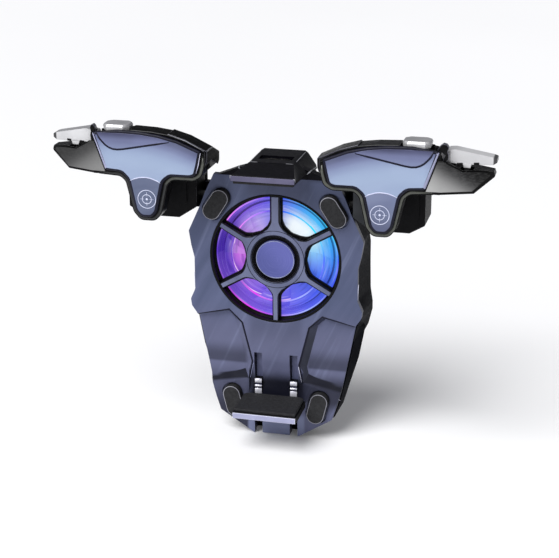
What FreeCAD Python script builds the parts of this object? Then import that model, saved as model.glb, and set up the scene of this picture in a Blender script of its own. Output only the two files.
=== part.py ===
import FreeCAD, Part
import Sketcher
import math
import os

# ---------------------------------------------------------------------------
# Clip-on cooler with two shoulder-trigger units.
# Frame: +X right, +Y away from the player, +Z up.
# Origin: on the plane of the four rubber pads, on the symmetry plane, half way
# between the two jaws when they stand 70.9 mm apart.
# All lengths are millimetres.
# ---------------------------------------------------------------------------

V = FreeCAD.Vector
ROT = FreeCAD.Rotation
PLC = FreeCAD.Placement

doc = FreeCAD.newDocument("cooler_controller")

DIMS = [
    ("clamp_half", 35.45, "half of the clear height between the jaws at rest"),
    ("plate_front", 1.8, "front plane of the slate cover"),
    ("plate_back", 3.8, "back plane of the slate cover"),
    ("plate_low_back", 5.4, "back of the thick lower part of the cover"),
    ("rear_front", 3.9, "front edge of the black rear cover"),
    ("rear_low_front", 5.5, "front edge of the rear cover, lower part"),
    ("rear_back", 15.0, "back plane of the rear cover"),
    ("rear_low_back", 10.4, "back plane of the rear cover, lower part"),
    ("rear_wall", 1.6, "rear cover wall"),
    ("fan_z", 8.4, "height of the fan axis"),
    ("fan_hole", 20.2, "radius of the opening in the slate cover"),
    ("frame_out", 21.5, "fan frame outer radius"),
    ("frame_in", 19.2, "fan frame inner radius"),
    ("frame_front", 3.9, "fan frame front plane"),
    ("frame_back", 9.4, "fan frame back plane"),
    ("guard_front", 1.8, "guard front plane"),
    ("guard_back", 3.3, "guard back plane"),
    ("guard_ring_out", 9.1, "guard hub ring outer radius"),
    ("guard_ring_in", 7.45, "guard hub ring inner radius"),
    ("badge_r", 6.0, "round badge radius"),
    ("spoke_w", 1.9, "guard spoke width"),
    ("rotor_hub", 6.9, "rotor hub radius"),
    ("rotor_tip", 16.85, "rotor tip ring outer radius"),
    ("shaft_r", 0.75, "fan shaft radius"),
    ("bearing_in", 0.8, "sleeve bearing bore radius"),
    ("bearing_out", 2.2, "sleeve bearing outer radius"),
    ("slot_in", 4.4, "inner edge of the jaw slots"),
    ("slot_out", 6.9, "outer edge of the jaw slots"),
    ("slot_top", -22.5, "top of the jaw slots"),
    ("jaw_half", 10.0, "half width of the lower jaw shelf"),
    ("jaw_top", -36.45, "top of the lower jaw shelf, under its cushion"),
    ("jaw_under", -38.4, "underside of the lower jaw shelf"),
    ("jaw_reach", -13.4, "front of the lower jaw shelf"),
    ("upper_half", 9.6, "half width of the upper jaw"),
    ("upper_reach", -12.6, "front of the upper jaw"),
    ("pad_len", 10.3, "rubber pad length"),
    ("pad_wide", 5.6, "rubber pad width"),
    ("arm_front", 9.75, "front of the slide arms"),
    ("arm_back", 11.65, "back of the slide arms"),
    ("arm_low", 20.95, "bottom of the lower slide arm"),
    ("arm_tall", 3.7, "height of the lower slide arm"),
    ("arm_high", 26.2, "bottom of the upper slide arm"),
    ("arm_high_tall", 3.2, "height of the upper slide arm"),
    ("arm_end", 2.6, "inner end of the slide arms"),
    ("face_front", -14.3, "front plane of the trigger face plates"),
    ("face_back", -13.15, "back plane of the trigger face plates"),
    ("body_front", -13.2, "front plane of the trigger bodies"),
    ("foot_plane", -7.7, "plane that the trigger feet touch, 7.7 mm in front of the pads"),
    ("clamp_front", 0.6, "front plane of the rear clamp block"),
    ("clamp_back", 12.6, "back plane of the rear clamp block"),
    ("tongue_x", 34.75, "middle of the trigger tongue"),
    ("pin_r", 0.7, "lever pin radius"),
    ("knuckle_bore", 0.76, "lever bore radius"),
    ("pin_x", 50.9, "lever pin, sideways"),
    ("pin_z", 45.1, "lever pin height"),
]

sheet = doc.addObject("Spreadsheet::Sheet", "Dims")
sheet.Label = "Dims"
VAL = {}
for row, (name, value, note) in enumerate(DIMS, start=1):
    sheet.set("A%d" % row, note)
    sheet.set("B%d" % row, "%g" % value)
    sheet.setAlias("B%d" % row, name)
    VAL[name] = value
doc.recompute()


class Q:
    """A size with its value and the sheet formula it comes from."""

    def __init__(self, v, x):
        self.v = float(v)
        self.x = x

    def __add__(self, o):
        o = q(o)
        return Q(self.v + o.v, "(%s + %s)" % (self.x, o.x))

    def __radd__(self, o):
        return q(o) + self

    def __sub__(self, o):
        o = q(o)
        return Q(self.v - o.v, "(%s - %s)" % (self.x, o.x))

    def __rsub__(self, o):
        return q(o) - self

    def __mul__(self, o):
        o = q(o)
        return Q(self.v * o.v, "(%s * %s)" % (self.x, o.x))

    def __rmul__(self, o):
        return q(o) * self

    def __neg__(self):
        return Q(-self.v, "(0 - %s)" % self.x)


def q(o):
    if isinstance(o, Q):
        return o
    t = "%.6g" % o
    if o < 0:
        t = "(0 - %.6g)" % (-o)
    return Q(o, t)


def S(name):
    return Q(VAL[name], "Dims." + name)


def num(o):
    return o.v if isinstance(o, Q) else float(o)


def bind(obj, prop, val):
    """Give a property its value, and its formula where it comes from the sheet."""
    if prop.startswith("Placement") or prop.startswith("AttachmentOffset"):
        pass
    else:
        setattr(obj, prop, num(val))
    if isinstance(val, Q):
        obj.setExpression(prop, val.x)


# ------------------------------------------------------------- outlines ----
def rounded(pts):
    """Closed outline from (x, y) or (x, y, r) corners; returns sketch geometry."""
    n = len(pts)
    cor = []
    for i in range(n):
        p = pts[i]
        x, y = num(p[0]), num(p[1])
        r = num(p[2]) if len(p) > 2 else 0.0
        if r <= 0:
            cor.append(((x, y), (x, y), None))
            continue
        a = pts[i - 1]
        b = pts[(i + 1) % n]
        ux, uy = num(a[0]) - x, num(a[1]) - y
        vx, vy = num(b[0]) - x, num(b[1]) - y
        lu, lv = math.hypot(ux, uy), math.hypot(vx, vy)
        ux, uy, vx, vy = ux / lu, uy / lu, vx / lv, vy / lv
        cosang = max(-1.0, min(1.0, ux * vx + uy * vy))
        ang = math.acos(cosang)
        d = min(r / math.tan(ang / 2), 0.49 * lu, 0.49 * lv)
        r = d * math.tan(ang / 2)
        p1 = (x + ux * d, y + uy * d)
        p2 = (x + vx * d, y + vy * d)
        bx, by = ux + vx, uy + vy
        lb = math.hypot(bx, by)
        h = r / math.sin(ang / 2)
        cx, cy = x + bx / lb * h, y + by / lb * h
        mx, my = x + bx / lb * (h - r), y + by / lb * (h - r)
        cor.append((p1, p2, (cx, cy, r, mx, my)))
    geo = []
    for i in range(n):
        p1, p2, arc = cor[i]
        if arc:
            geo.append(Part.Arc(V(p1[0], p1[1], 0), V(arc[3], arc[4], 0), V(p2[0], p2[1], 0)))
        nx = cor[(i + 1) % n][0]
        if math.hypot(nx[0] - p2[0], nx[1] - p2[1]) > 1e-6:
            geo.append(Part.LineSegment(V(p2[0], p2[1], 0), V(nx[0], nx[1], 0)))
    return geo


def rect(x0, x1, y0, y1, r=0):
    return [(x0, y0, r), (x1, y0, r), (x1, y1, r), (x0, y1, r)]


def mir(pts, s=-1):
    """Mirror an outline in the first coordinate when s is -1."""
    if s == 1:
        return [tuple(p) for p in pts]
    return [tuple([num(p[0]) * -1] + list(p[1:])) for p in pts][::-1]


def both(half):
    """Close a right-hand half outline (top to bottom) with its mirror image."""
    left = [tuple([-num(p[0])] + list(p[1:])) for p in half if abs(num(p[0])) > 1e-6]
    return list(half) + left[::-1]


def stadium(cx, cy, length, width, ang):
    """Slot outline: ends are half circles; ang is the long axis from +x."""
    hl = (length - width) / 2.0
    r = width / 2.0
    ca, sa = math.cos(math.radians(ang)), math.sin(math.radians(ang))

    def P(u, v):
        return V(cx + u * ca - v * sa, cy + u * sa + v * ca, 0)

    return [
        Part.LineSegment(P(-hl, -r), P(hl, -r)),
        Part.Arc(P(hl, -r), P(hl + r, 0), P(hl, r)),
        Part.LineSegment(P(hl, r), P(-hl, r)),
        Part.Arc(P(-hl, r), P(-hl - r, 0), P(-hl, -r)),
    ]


class Circle:
    def __init__(self, cx, cy, r):
        self.cx, self.cy, self.r = cx, cy, r


class Arcs:
    """A ready-made list of sketch geometry."""

    def __init__(self, geo):
        self.geo = geo


def inset(pts, dists):
    """Outline whose edges lie parallel to the given ones, moved inwards."""
    n = len(pts)
    area = 0.0
    for i in range(n):
        x0, y0 = pts[i][0], pts[i][1]
        x1, y1 = pts[(i + 1) % n][0], pts[(i + 1) % n][1]
        area += x0 * y1 - x1 * y0
    sg = 1.0 if area > 0 else -1.0
    lines = []
    for i in range(n):
        x0, y0 = pts[i][0], pts[i][1]
        x1, y1 = pts[(i + 1) % n][0], pts[(i + 1) % n][1]
        l = math.hypot(x1 - x0, y1 - y0)
        nx, ny = -(y1 - y0) / l * sg, (x1 - x0) / l * sg
        lines.append((nx, ny, nx * x0 + ny * y0 + dists[i]))
    out = []
    for i in range(n):
        a1, b1, c1 = lines[i - 1]
        a2, b2, c2 = lines[i]
        det = a1 * b2 - a2 * b1
        out.append(((c1 * b2 - c2 * b1) / det, (a1 * c2 - a2 * c1) / det))
    return out


class Body:
    def __init__(self, label, place=None):
        self.o = doc.addObject("PartDesign::Body", label)
        self.o.Label = label
        if place is not None:
            self.o.Placement = place
        self.n = 0
        LABELS.append(self.o)

    def plane(self, role):
        for f in self.o.Origin.OriginFeatures:
            if f.Role == role:
                return f
        raise RuntimeError("no plane " + role)

    def sketch(self, pl, at, loops, yaw=None):
        s = self.o.newObject("Sketcher::SketchObject", "%s_sketch%d" % (self.o.Name, self.n))
        self.n += 1
        s.AttachmentSupport = [(self.plane(pl + "_Plane"), "")]
        s.MapMode = "FlatFace"
        off = -q(at) if pl == "XZ" else at
        s.AttachmentOffset = PLC(V(0, 0, num(off)), ROT(V(0, 0, 1), yaw or 0))
        if isinstance(at, Q):
            s.setExpression("AttachmentOffset.Base.z", q(off).x)
        for lp in loops:
            if isinstance(lp, Circle):
                i = s.addGeometry(Part.Circle(V(num(lp.cx), num(lp.cy), 0), V(0, 0, 1), num(lp.r)), False)
                c = s.addConstraint(Sketcher.Constraint("Radius", i, num(lp.r)))
                s.renameConstraint(c, "radius%d" % i)
                if isinstance(lp.r, Q):
                    s.setExpression("Constraints.radius%d" % i, lp.r.x)
                if isinstance(lp.cy, Q):
                    c = s.addConstraint(Sketcher.Constraint("DistanceY", -1, 1, i, 3, num(lp.cy)))
                    s.renameConstraint(c, "height%d" % i)
                    s.setExpression("Constraints.height%d" % i, lp.cy.x)
                continue
            if isinstance(lp, Arcs):
                geo = lp.geo
            else:
                geo = rounded(lp)
            first = s.GeometryCount
            s.addGeometry(geo, False)
            m = len(geo)
            straight = all(isinstance(g, Part.LineSegment) for g in geo)
            fixed = []
            for k in range(m):
                g1, g2 = geo[k], geo[(k + 1) % m]
                best = None
                for e1, p1 in ((1, g1.StartPoint), (2, g1.EndPoint)):
                    for e2, p2 in ((1, g2.StartPoint), (2, g2.EndPoint)):
                        d = p1.distanceToPoint(p2)
                        if best is None or d < best[0] - 1e-9:
                            best = (d, e1, e2)
                fixed.append(Sketcher.Constraint("Coincident", first + k, best[1], first + (k + 1) % m, best[2]))
            if straight and m > 1:
                s.addConstraint(fixed)
            # corners whose size comes from the sheet
            if not isinstance(lp, Arcs) and all(len(p) < 3 or num(p[2]) <= 0 for p in lp):
                for k, p in enumerate(lp):
                    for ax, kind in ((0, "DistanceX"), (1, "DistanceY")):
                        if isinstance(p[ax], Q) and abs(p[ax].v) > 1e-6:
                            if p[ax].v > 0:
                                c = s.addConstraint(Sketcher.Constraint(kind, -1, 1, first + k, 1, p[ax].v))
                                ex = p[ax].x
                            else:
                                c = s.addConstraint(Sketcher.Constraint(kind, first + k, 1, -1, 1, -p[ax].v))
                                ex = "(0 - %s)" % p[ax].x
                            nm = "%s_%d" % (kind[-1].lower(), first + k)
                            s.renameConstraint(c, nm)
                            s.setExpression("Constraints." + nm, ex)
        s.Visibility = False
        return s

    def pad(self, pl, loops, a, b):
        """Solid between a and b along the plane's axis (Y for XZ)."""
        at = b if pl == "XZ" else a
        sk = self.sketch(pl, at, loops)
        f = self.o.newObject("PartDesign::Pad", "%s_pad%d" % (self.o.Name, self.n))
        f.Profile = sk
        bind(f, "Length", b - a)
        doc.recompute()
        self.o.Tip = f
        return f

    def cut(self, pl, loops, a, b):
        """Remove the material between a and b along the plane's axis."""
        before = self.o.Shape.Volume
        at = a if pl == "XZ" else b
        sk = self.sketch(pl, at, loops)
        f = self.o.newObject("PartDesign::Pocket", "%s_pocket%d" % (self.o.Name, self.n))
        f.Profile = sk
        bind(f, "Length", b - a)
        doc.recompute()
        if f.Shape.Volume >= before - 1e-6:
            f.Reversed = True
            doc.recompute()
        if f.Shape.Volume >= before - 1e-6:
            raise RuntimeError("pocket removes nothing in " + self.o.Label)
        self.o.Tip = f
        return f

    def loft(self, secs, cut=False):
        """Ruled loft through (plane, at, outline) sections."""
        before = self.o.Shape.Volume if cut else 0
        sks = [self.sketch(pl, at, [lp]) for pl, at, lp in secs]
        kind = "PartDesign::SubtractiveLoft" if cut else "PartDesign::AdditiveLoft"
        f = self.o.newObject(kind, "%s_loft%d" % (self.o.Name, self.n))
        f.Profile = sks[0]
        f.Sections = sks[1:]
        f.Ruled = True
        f.Closed = False
        doc.recompute()
        if cut and f.Shape.Volume >= before - 1e-6:
            raise RuntimeError("loft removes nothing in " + self.o.Label)
        self.o.Tip = f
        return f

    def edges(self, pred):
        out = []
        for i, e in enumerate(self.o.Tip.Shape.Edges, start=1):
            try:
                mid = e.valueAt((e.FirstParameter + e.LastParameter) / 2.0)
            except Exception:
                continue
            ends = [v.Point for v in e.Vertexes]
            if pred(e, mid, ends):
                out.append("Edge%d" % i)
        return out

    def dress(self, kind, pred, size):
        """Chamfer or fillet of the edges that pred picks; kept only if sound."""
        names = self.edges(pred)
        if not names:
            print("no edges for", kind, "on", self.o.Label)
            return None
        base = self.o.Tip
        vol = base.Shape.Volume
        f = self.o.newObject("PartDesign::" + kind, "%s_%s%d" % (self.o.Name, kind.lower(), self.n))
        self.n += 1
        f.Base = (base, names)
        if kind == "Chamfer":
            bind(f, "Size", size)
        else:
            bind(f, "Radius", size)
        doc.recompute()
        good = ("Invalid" not in f.State and "Error" not in f.State and not f.Shape.isNull()
                and f.Shape.isValid() and len(f.Shape.Solids) == len(base.Shape.Solids)
                and abs(f.Shape.Volume - vol) < 0.3 * vol)
        if not good:
            print("dropped", kind, "on", self.o.Label)
            self.o.removeObject(f)
            doc.removeObject(f.Name)
            self.o.Tip = base
            doc.recompute()
            return None
        self.o.Tip = f
        return f

    def polar(self, feats, axis_role, count):
        f = self.o.newObject("PartDesign::PolarPattern", "%s_polar%d" % (self.o.Name, self.n))
        self.n += 1
        f.Originals = feats
        f.Axis = (self.plane(axis_role), [""])
        f.Angle = 360
        f.Occurrences = count
        self.o.Tip = f
        doc.recompute()
        return f


LABELS = []


def keep(obj, label):
    obj.Label = label
    LABELS.append(obj)
    return obj


def place_on(axis, c):
    """Placement that turns local +Z to the given axis, at c."""
    if axis == "X":
        return PLC(V(*c), ROT(V(0, 1, 0), 90))
    if axis == "Y":
        return PLC(V(*c), ROT(V(1, 0, 0), -90))
    return PLC(V(*c), ROT())


SEQ = [0]


def cyl(axis, c, r, length, label=None):
    SEQ[0] += 1
    o = doc.addObject("Part::Cylinder", "Cyl%d" % SEQ[0])
    bind(o, "Radius", r)
    bind(o, "Height", length)
    cc = [num(k) for k in c]
    o.Placement = place_on(axis, cc)
    for k, nm in zip(c, ("x", "y", "z")):
        if isinstance(k, Q):
            o.setExpression("Placement.Base." + nm, k.x)
    if label:
        keep(o, label)
    return o


def box(x0, x1, y0, y1, z0, z1, label=None):
    SEQ[0] += 1
    o = doc.addObject("Part::Box", "Box%d" % SEQ[0])
    bind(o, "Length", q(x1) - x0 if isinstance(x0, Q) or isinstance(x1, Q) else x1 - x0)
    bind(o, "Width", q(y1) - y0 if isinstance(y0, Q) or isinstance(y1, Q) else y1 - y0)
    bind(o, "Height", q(z1) - z0 if isinstance(z0, Q) or isinstance(z1, Q) else z1 - z0)
    o.Placement = PLC(V(num(x0), num(y0), num(z0)), ROT())
    for k, nm in ((x0, "x"), (y0, "y"), (z0, "z")):
        if isinstance(k, Q):
            o.setExpression("Placement.Base." + nm, k.x)
    if label:
        keep(o, label)
    return o


def sbox(s, x0, x1, y0, y1, z0, z1, label=None):
    """Box on the right (s = 1) or mirrored to the left (s = -1)."""
    if s == 1:
        return box(x0, x1, y0, y1, z0, z1, label)
    return box(-q(x1) if isinstance(x1, Q) else -x1, -q(x0) if isinstance(x0, Q) else -x0, y0, y1, z0, z1, label)


def fuse(objs, label=None):
    SEQ[0] += 1
    o = doc.addObject("Part::MultiFuse", "Fuse%d" % SEQ[0])
    o.Shapes = objs
    if label:
        keep(o, label)
    doc.recompute()
    return o


def minus(a, b, label=None):
    SEQ[0] += 1
    o = doc.addObject("Part::Cut", "Cut%d" % SEQ[0])
    o.Base = a
    o.Tool = b
    if label:
        keep(o, label)
    doc.recompute()
    return o


def group(objs, label):
    """Separate solids that share one node."""
    SEQ[0] += 1
    o = doc.addObject("Part::Compound", "Group%d" % SEQ[0])
    o.Links = objs
    keep(o, label)
    doc.recompute()
    return o


ZF = S("fan_z")
zf = VAL["fan_z"]


def polar_pts(r, deg, cz=zf):
    return (r * math.cos(math.radians(deg)), cz + r * math.sin(math.radians(deg)))


# ------------------------------------------------------------ slate cover --
cover_half = [
    (0, 34.2), (18.9, 34.2), (21.6, 28.5), (23.4, 23.9), (27.15, 15.7, 1.0), (26.4, 11.0, 3.0),
    (25.5, 7.3, 3.0), (25.5, -3.0, 2.0), (27.0, -6.4, 0.8), (26.7, -8.6, 1.0), (24.9, -11.2),
    (20.8, -32.8, 1.5), (19.3, -38.6, 2.0), (17.9, -43.0, 1.0), (7.2, -49.8),
    (6.9, -49.8), (6.9, -22.5), (4.4, -22.5), (4.4, -49.6),
]
fc = Body("front_cover")
fc.pad("XZ", [both(cover_half[:])], S("plate_front"), S("plate_back"))
low_half = [
    (0, -13.9), (8.0, -12.9), (14.0, -10.2), (24.2, -10.2), (20.2, -32.8), (18.7, -38.6),
    (17.3, -42.7), (7.3, -49.0), (6.9, -49.0), (6.9, -22.5), (4.4, -22.5), (4.4, -49.6),
]
fc.pad("XZ", [both(low_half)], S("plate_back") - 0.1, S("plate_low_back"))
fc.cut("XZ", [Circle(0, ZF, S("fan_hole"))], 1.0, 5.0)
# sunk side panels, open at the outer edge, with a soft ramp on the inside
for s in (1, -1):
    top = [(27.6, -11.9), (14.7, -8.9), (10.6, -12.9), (7.45, -25.5), (8.65, -31.5), (24.5, -34.8)]
    flo = inset(top, [0.5, 1.3, 2.3, 2.0, 3.0, 0.0])
    fc.loft([("XZ", 1.7, mir(top, s)), ("XZ", 3.3, mir(flo, s))], cut=True)
# the spine falls back and rises again to the foot
fc.cut("YZ", [[(1.7, -25.0), (3.15, -33.2), (1.7, -36.6)]], -8.6, 8.6)
# notch behind the top edge for the power socket
fc.cut("XY", [rect(-4.8, 4.8, 2.5, 6.0)], 31.0, 35.0)
# seats of the rubber pads
PADS = [(18.1, 24.9, 90 + 32.7), (13.45, -39.05, 90 - 13.7)]
for s in (1, -1):
    for (px, pz, ang) in PADS:
        a = ang if s == 1 else 180 - ang
        fc.cut("XZ", [Arcs(stadium(s * px, pz, 11.5, 6.8, a))], 1.0, 2.7)
fc.dress("Chamfer", lambda e, m, ends: abs(m.y - 1.8) < 1e-4 and all(abs(p.y - 1.8) < 1e-4 for p in ends)
         and (math.hypot(m.x, m.z - zf) < 20.4 and math.hypot(m.x, m.z - zf) > 20.0), 0.35)

# ------------------------------------------------------------- rear cover --
rear_rim = [
    (0, 34.0), (18.6, 34.0), (21.1, 28.4), (22.9, 23.8), (26.4, 15.4), (26.0, 12.0), (25.6, 7.5),
    (25.6, -3.0), (27.0, -6.6), (26.7, -8.8), (25.0, -12.0), (24.0, -17.0), (0, -18.6),
]
rear_full = [
    (0, 34.0), (18.6, 34.0), (21.1, 28.4), (22.9, 23.8), (26.8, 15.6), (27.2, 13.0), (27.2, 7.5),
    (27.4, -2.0), (28.1, -6.4), (28.1, -9.0), (26.9, -14.0), (24.9, -18.0), (0, -18.6),
]
low_rim = [
    (0, -9.8), (24.4, -10.4), (24.8, -13.0), (22.9, -23.0), (21.0, -32.8), (19.6, -38.8), (17.9, -43.6),
    (8.2, -49.5), (0, -49.5),
]
low_full = [
    (0, -9.8), (25.6, -10.4), (26.8, -13.4), (24.9, -23.6), (22.1, -33.0), (20.2, -39.6), (17.3, -45.2),
    (8.6, -49.6), (0, -49.6),
]
low_tail = [
    (0, -9.8), (23.8, -10.4), (25.0, -13.6), (23.1, -23.4), (20.3, -32.6), (18.5, -38.9), (16.0, -43.8),
    (8.0, -47.8), (0, -47.8),
]
rc = Body("rear_cover")
rc.loft([("XZ", S("rear_front"), both(rear_rim)), ("XZ", 12.6, both(rear_full))])
rc.pad("XZ", [both(rear_full)], 12.5, S("rear_back"))
rc.dress("Chamfer", lambda e, m, ends: abs(m.y - 15.0) < 1e-4, 1.8)
rc.loft([("XZ", S("rear_low_front"), both(low_rim)), ("XZ", 8.7, both(low_full)), ("XZ", S("rear_low_back"), both(low_tail))])
w = S("rear_wall")
inner_half = [
    (0, 32.4), (17.5, 32.4), (19.6, 27.8), (21.4, 23.3), (24.8, 15.0), (24.6, 12.0), (24.1, 7.4),
    (24.1, -2.8), (25.3, -6.9), (25.1, -8.6), (23.6, -12.2), (22.7, -16.4), (0, -17.0),
]
rc.cut("XZ", [both(inner_half)], 3.0, S("rear_back") - w)
low_in = [
    (0, -10.5), (22.9, -11.6), (23.4, -13.6), (21.5, -23.0), (19.5, -32.4), (18.0, -38.4), (16.1, -42.8),
    (7.8, -47.6), (0, -47.6),
]
rc.cut("XZ", [both(low_in)], 5.0, S("rear_low_back") - 1.4)
# seat of the slate cover's thick lower part
rc.cut("XZ", [both([(0, -13.8), (8.05, -12.8), (14.0, -10.1), (24.35, -10.1), (22.65, -19.2), (0, -19.2)])], 3.0, S("rear_low_front"))
# passages for the two legs of the lower jaw at the bottom
for s in (1, -1):
    rc.cut("XZ", [rect(min(s * 4.2, s * 7.1), max(s * 4.2, s * 7.1), -50.5, -46.5)], 5.0, 6.1)
# the top falls away towards the back on both sides of the jaw
for s in (1, -1):
    a, b = (9.0, 18.6) if s == 1 else (-18.6, -9.0)
    rc.pad("YZ", [[(5.0, 33.0), (5.0, 32.23), (13.6, 29.37), (13.6, 33.0)]], a, b)
    a, b = (10.1, 24.0) if s == 1 else (-24.0, -10.1)
    rc.cut("YZ", [[(4.2, 34.0), (3.9, 34.6), (15.4, 34.6), (15.4, 30.27)]], a, b)
# room for the power socket in the top wall, open to the front
rc.cut("XY", [rect(-5.3, 5.3, 3.0, 6.6)], 32.0, 35.0)
# side windows for the slide arms
rc.cut("YZ", [rect(9.55, 11.85, 20.75, 24.85), rect(9.55, 11.85, 26.0, 29.6)], -30.0, 30.0)
# air inlet: a ring of radial slots behind the fan, one sketch for all
vent = []
for k in range(20):
    a = math.radians(k * 18 + 9)
    r0, r1, hw = 7.0, 17.2, 0.85
    ca, sa = math.cos(a), math.sin(a)

    def W(r, t):
        return V(r * ca - t * sa, zf + r * sa + t * ca, 0)

    vent.append(Arcs([
        Part.LineSegment(W(r0, -hw), W(r1, -hw)),
        Part.Arc(W(r1, -hw), W(r1 + hw, 0), W(r1, hw)),
        Part.LineSegment(W(r1, hw), W(r0, hw)),
        Part.Arc(W(r0, hw), W(r0 - hw, 0), W(r0, -hw)),
    ]))
rc.cut("XZ", vent, 12.9, 15.5)
# screw holes and their counterbores
for s in (1, -1):
    rc.cut("XZ", [Circle(s * 22.6, -8.6, 1.15)], 13.0, 15.4)
    rc.cut("XZ", [Circle(s * 22.6, 15.2, 1.15)], 13.0, 15.4)
    rc.cut("XZ", [Circle(s * 14.2, -35.8, 1.15)], 8.8, 10.8)
for s in (1, -1):
    rc.cut("XZ", [Circle(s * 22.6, -8.6, 2.1)], 14.0, 15.4)
    rc.cut("XZ", [Circle(s * 22.6, 15.2, 2.0)], 14.0, 15.4)
    rc.cut("XZ", [Circle(s * 14.2, -35.8, 2.1)], 9.7, 10.8)

# posts of the slate cover that the rear screws bite into
for s in (1, -1):
    fc.pad("XZ", [Circle(s * 22.6, -8.6, 1.9), Circle(s * 22.6, -8.6, 0.85)], 3.7, 13.2)
    fc.pad("XZ", [Circle(s * 22.6, 15.2, 1.5), Circle(s * 22.6, 15.2, 0.85)], 3.7, 13.2)
    fc.pad("XZ", [Circle(s * 14.2, -35.8, 2.0), Circle(s * 14.2, -35.8, 0.85)], 5.3, 8.9)


def screw(axis_dir, x, y, z, head_r, head_h, r, length, recess=0.6):
    """Pan-head screw: head at y (outer face), shank towards -Y."""
    head = cyl("Y", (x, y - head_h, z), head_r, head_h)
    shank = cyl("Y", (x, y - head_h - length, z), r, length + 0.05)
    body = fuse([head, shank])
    slot1 = box(x - head_r * 0.62, x + head_r * 0.62, y - recess, y + 0.1, z - 0.22, z + 0.22)
    slot2 = box(x - 0.22, x + 0.22, y - recess, y + 0.1, z - head_r * 0.62, z + head_r * 0.62)
    return minus(body, fuse([slot1, slot2]))


sc = []
for s in (1, -1):
    sc.append(screw("Y", s * 22.6, 15.0, -8.6, 1.95, 0.95, 0.85, 7.0))
    sc.append(screw("Y", s * 22.6, 15.0, 15.2, 1.9, 0.95, 0.85, 7.0))
    sc.append(screw("Y", s * 14.2, 10.4, -35.8, 1.95, 0.65, 0.85, 3.6, 0.4))
group(sc, "cover_screws")

# -------------------------------------------------------------- fan frame --
ff = Body("fan_frame")
ff.pad("XZ", [Circle(0, ZF, S("frame_out")), Circle(0, ZF, S("frame_in"))], S("frame_front"), S("frame_back"))
ff.pad("XZ", [Circle(0, ZF, S("frame_in") + 0.2), Circle(0, ZF, 17.4)], S("frame_back") - 0.7, S("frame_back"))
ff.pad("XZ", [Circle(0, ZF, 7.4)], S("frame_back") - 0.8, S("frame_back"))
for a in (30, 150, 270):
    ca, sa = math.cos(math.radians(a)), math.sin(math.radians(a))
    hw = 1.3
    pts = []
    for (r, t) in ((6.5, -hw), (18.6, -hw), (18.6, hw), (6.5, hw)):
        pts.append((r * ca - t * sa, zf + r * sa + t * ca))
    ff.pad("XZ", [pts], S("frame_back") - 0.8, S("frame_back"))
ff.cut("XZ", [Circle(0, ZF, S("bearing_out"))], 8.0, 9.6)

# -------------------------------------------------------------- fan guard --
fg = Body("fan_guard")
fg.pad("XZ", [Circle(0, ZF, S("guard_ring_out")), Circle(0, ZF, S("guard_ring_in"))], S("guard_front"), S("guard_back"))
for k in range(6):
    a = 90 + 60 * k
    ca, sa = math.cos(math.radians(a)), math.sin(math.radians(a))
    wide = {90: 1.45, 270: 0.85}.get(a % 360, 0.95)

    def G(r, t):
        return (r * ca - t * sa, zf + r * sa + t * ca)

    fg.pad("XZ", [[G(8.2, -3.9), G(9.6, -2.3, ), G(11.2, -wide - 0.12), G(19.75, -wide), G(19.75, wide),
                   G(11.2, wide + 0.12), G(9.6, 2.3), G(8.2, 3.9)]], S("guard_front"), S("guard_back"))
    fg.pad("XZ", [[G(19.3, -wide), G(19.95, -wide), G(19.95, wide), G(19.3, wide)]], S("guard_front") + 0.4, S("frame_front"))
fg.dress("Chamfer", lambda e, m, ends: abs(m.y - 1.8) < 1e-4, 0.22)

hb = Body("hub_bezel")
hb.pad("XZ", [Circle(0, ZF, S("guard_ring_in"))], S("guard_front") + 0.9, S("guard_back"))
hb.pad("XZ", [Circle(0, ZF, S("guard_ring_in")), Circle(0, ZF, S("guard_ring_in") - 0.4)], S("guard_front") + 0.15, S("guard_front") + 0.95)
bd = Body("hub_badge")
bd.pad("XZ", [Circle(0, ZF, S("badge_r"))], S("guard_front") - 0.1, S("guard_front") + 0.9)
bd.dress("Chamfer", lambda e, m, ends: abs(m.y - 1.7) < 1e-4, 0.2)

# ------------------------------------------------------------ light parts --
lr_profile = [(18.85, 4.3), (19.15, 4.3), (19.15, 7.4), (17.45, 7.4)]
lr = doc.addObject("Part::Feature", "LightRing")
prof = Part.Face(Part.makePolygon([V(a, 0, b) for a, b in lr_profile] + [V(lr_profile[0][0], 0, lr_profile[0][1])]))
lr.Shape = prof.revolve(V(0, 0, 0), V(0, 0, 1), 360)
lr.Placement = place_on("Y", (0, 0, VAL["fan_z"]))
keep(lr, "light_ring")
ledb = Body("led_board")
ledb.pad("XZ", [Circle(0, ZF, S("frame_in") - 0.05), Circle(0, ZF, 17.45)], 8.05, S("frame_back") - 0.8)
leds = []
for k in range(12):
    a = math.radians(15 + 30 * k)
    o = doc.addObject("Part::Box", "Led%d" % k)
    o.Length, o.Width, o.Height = 1.2, 0.55, 1.4
    o.Placement = PLC(V(18.3 * math.cos(a), 7.5, zf + 18.3 * math.sin(a)), ROT(V(0, 1, 0), -math.degrees(a))).multiply(
        PLC(V(-0.6, 0, -0.7), ROT()))
    leds.append(o)
group(leds, "leds")

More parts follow.
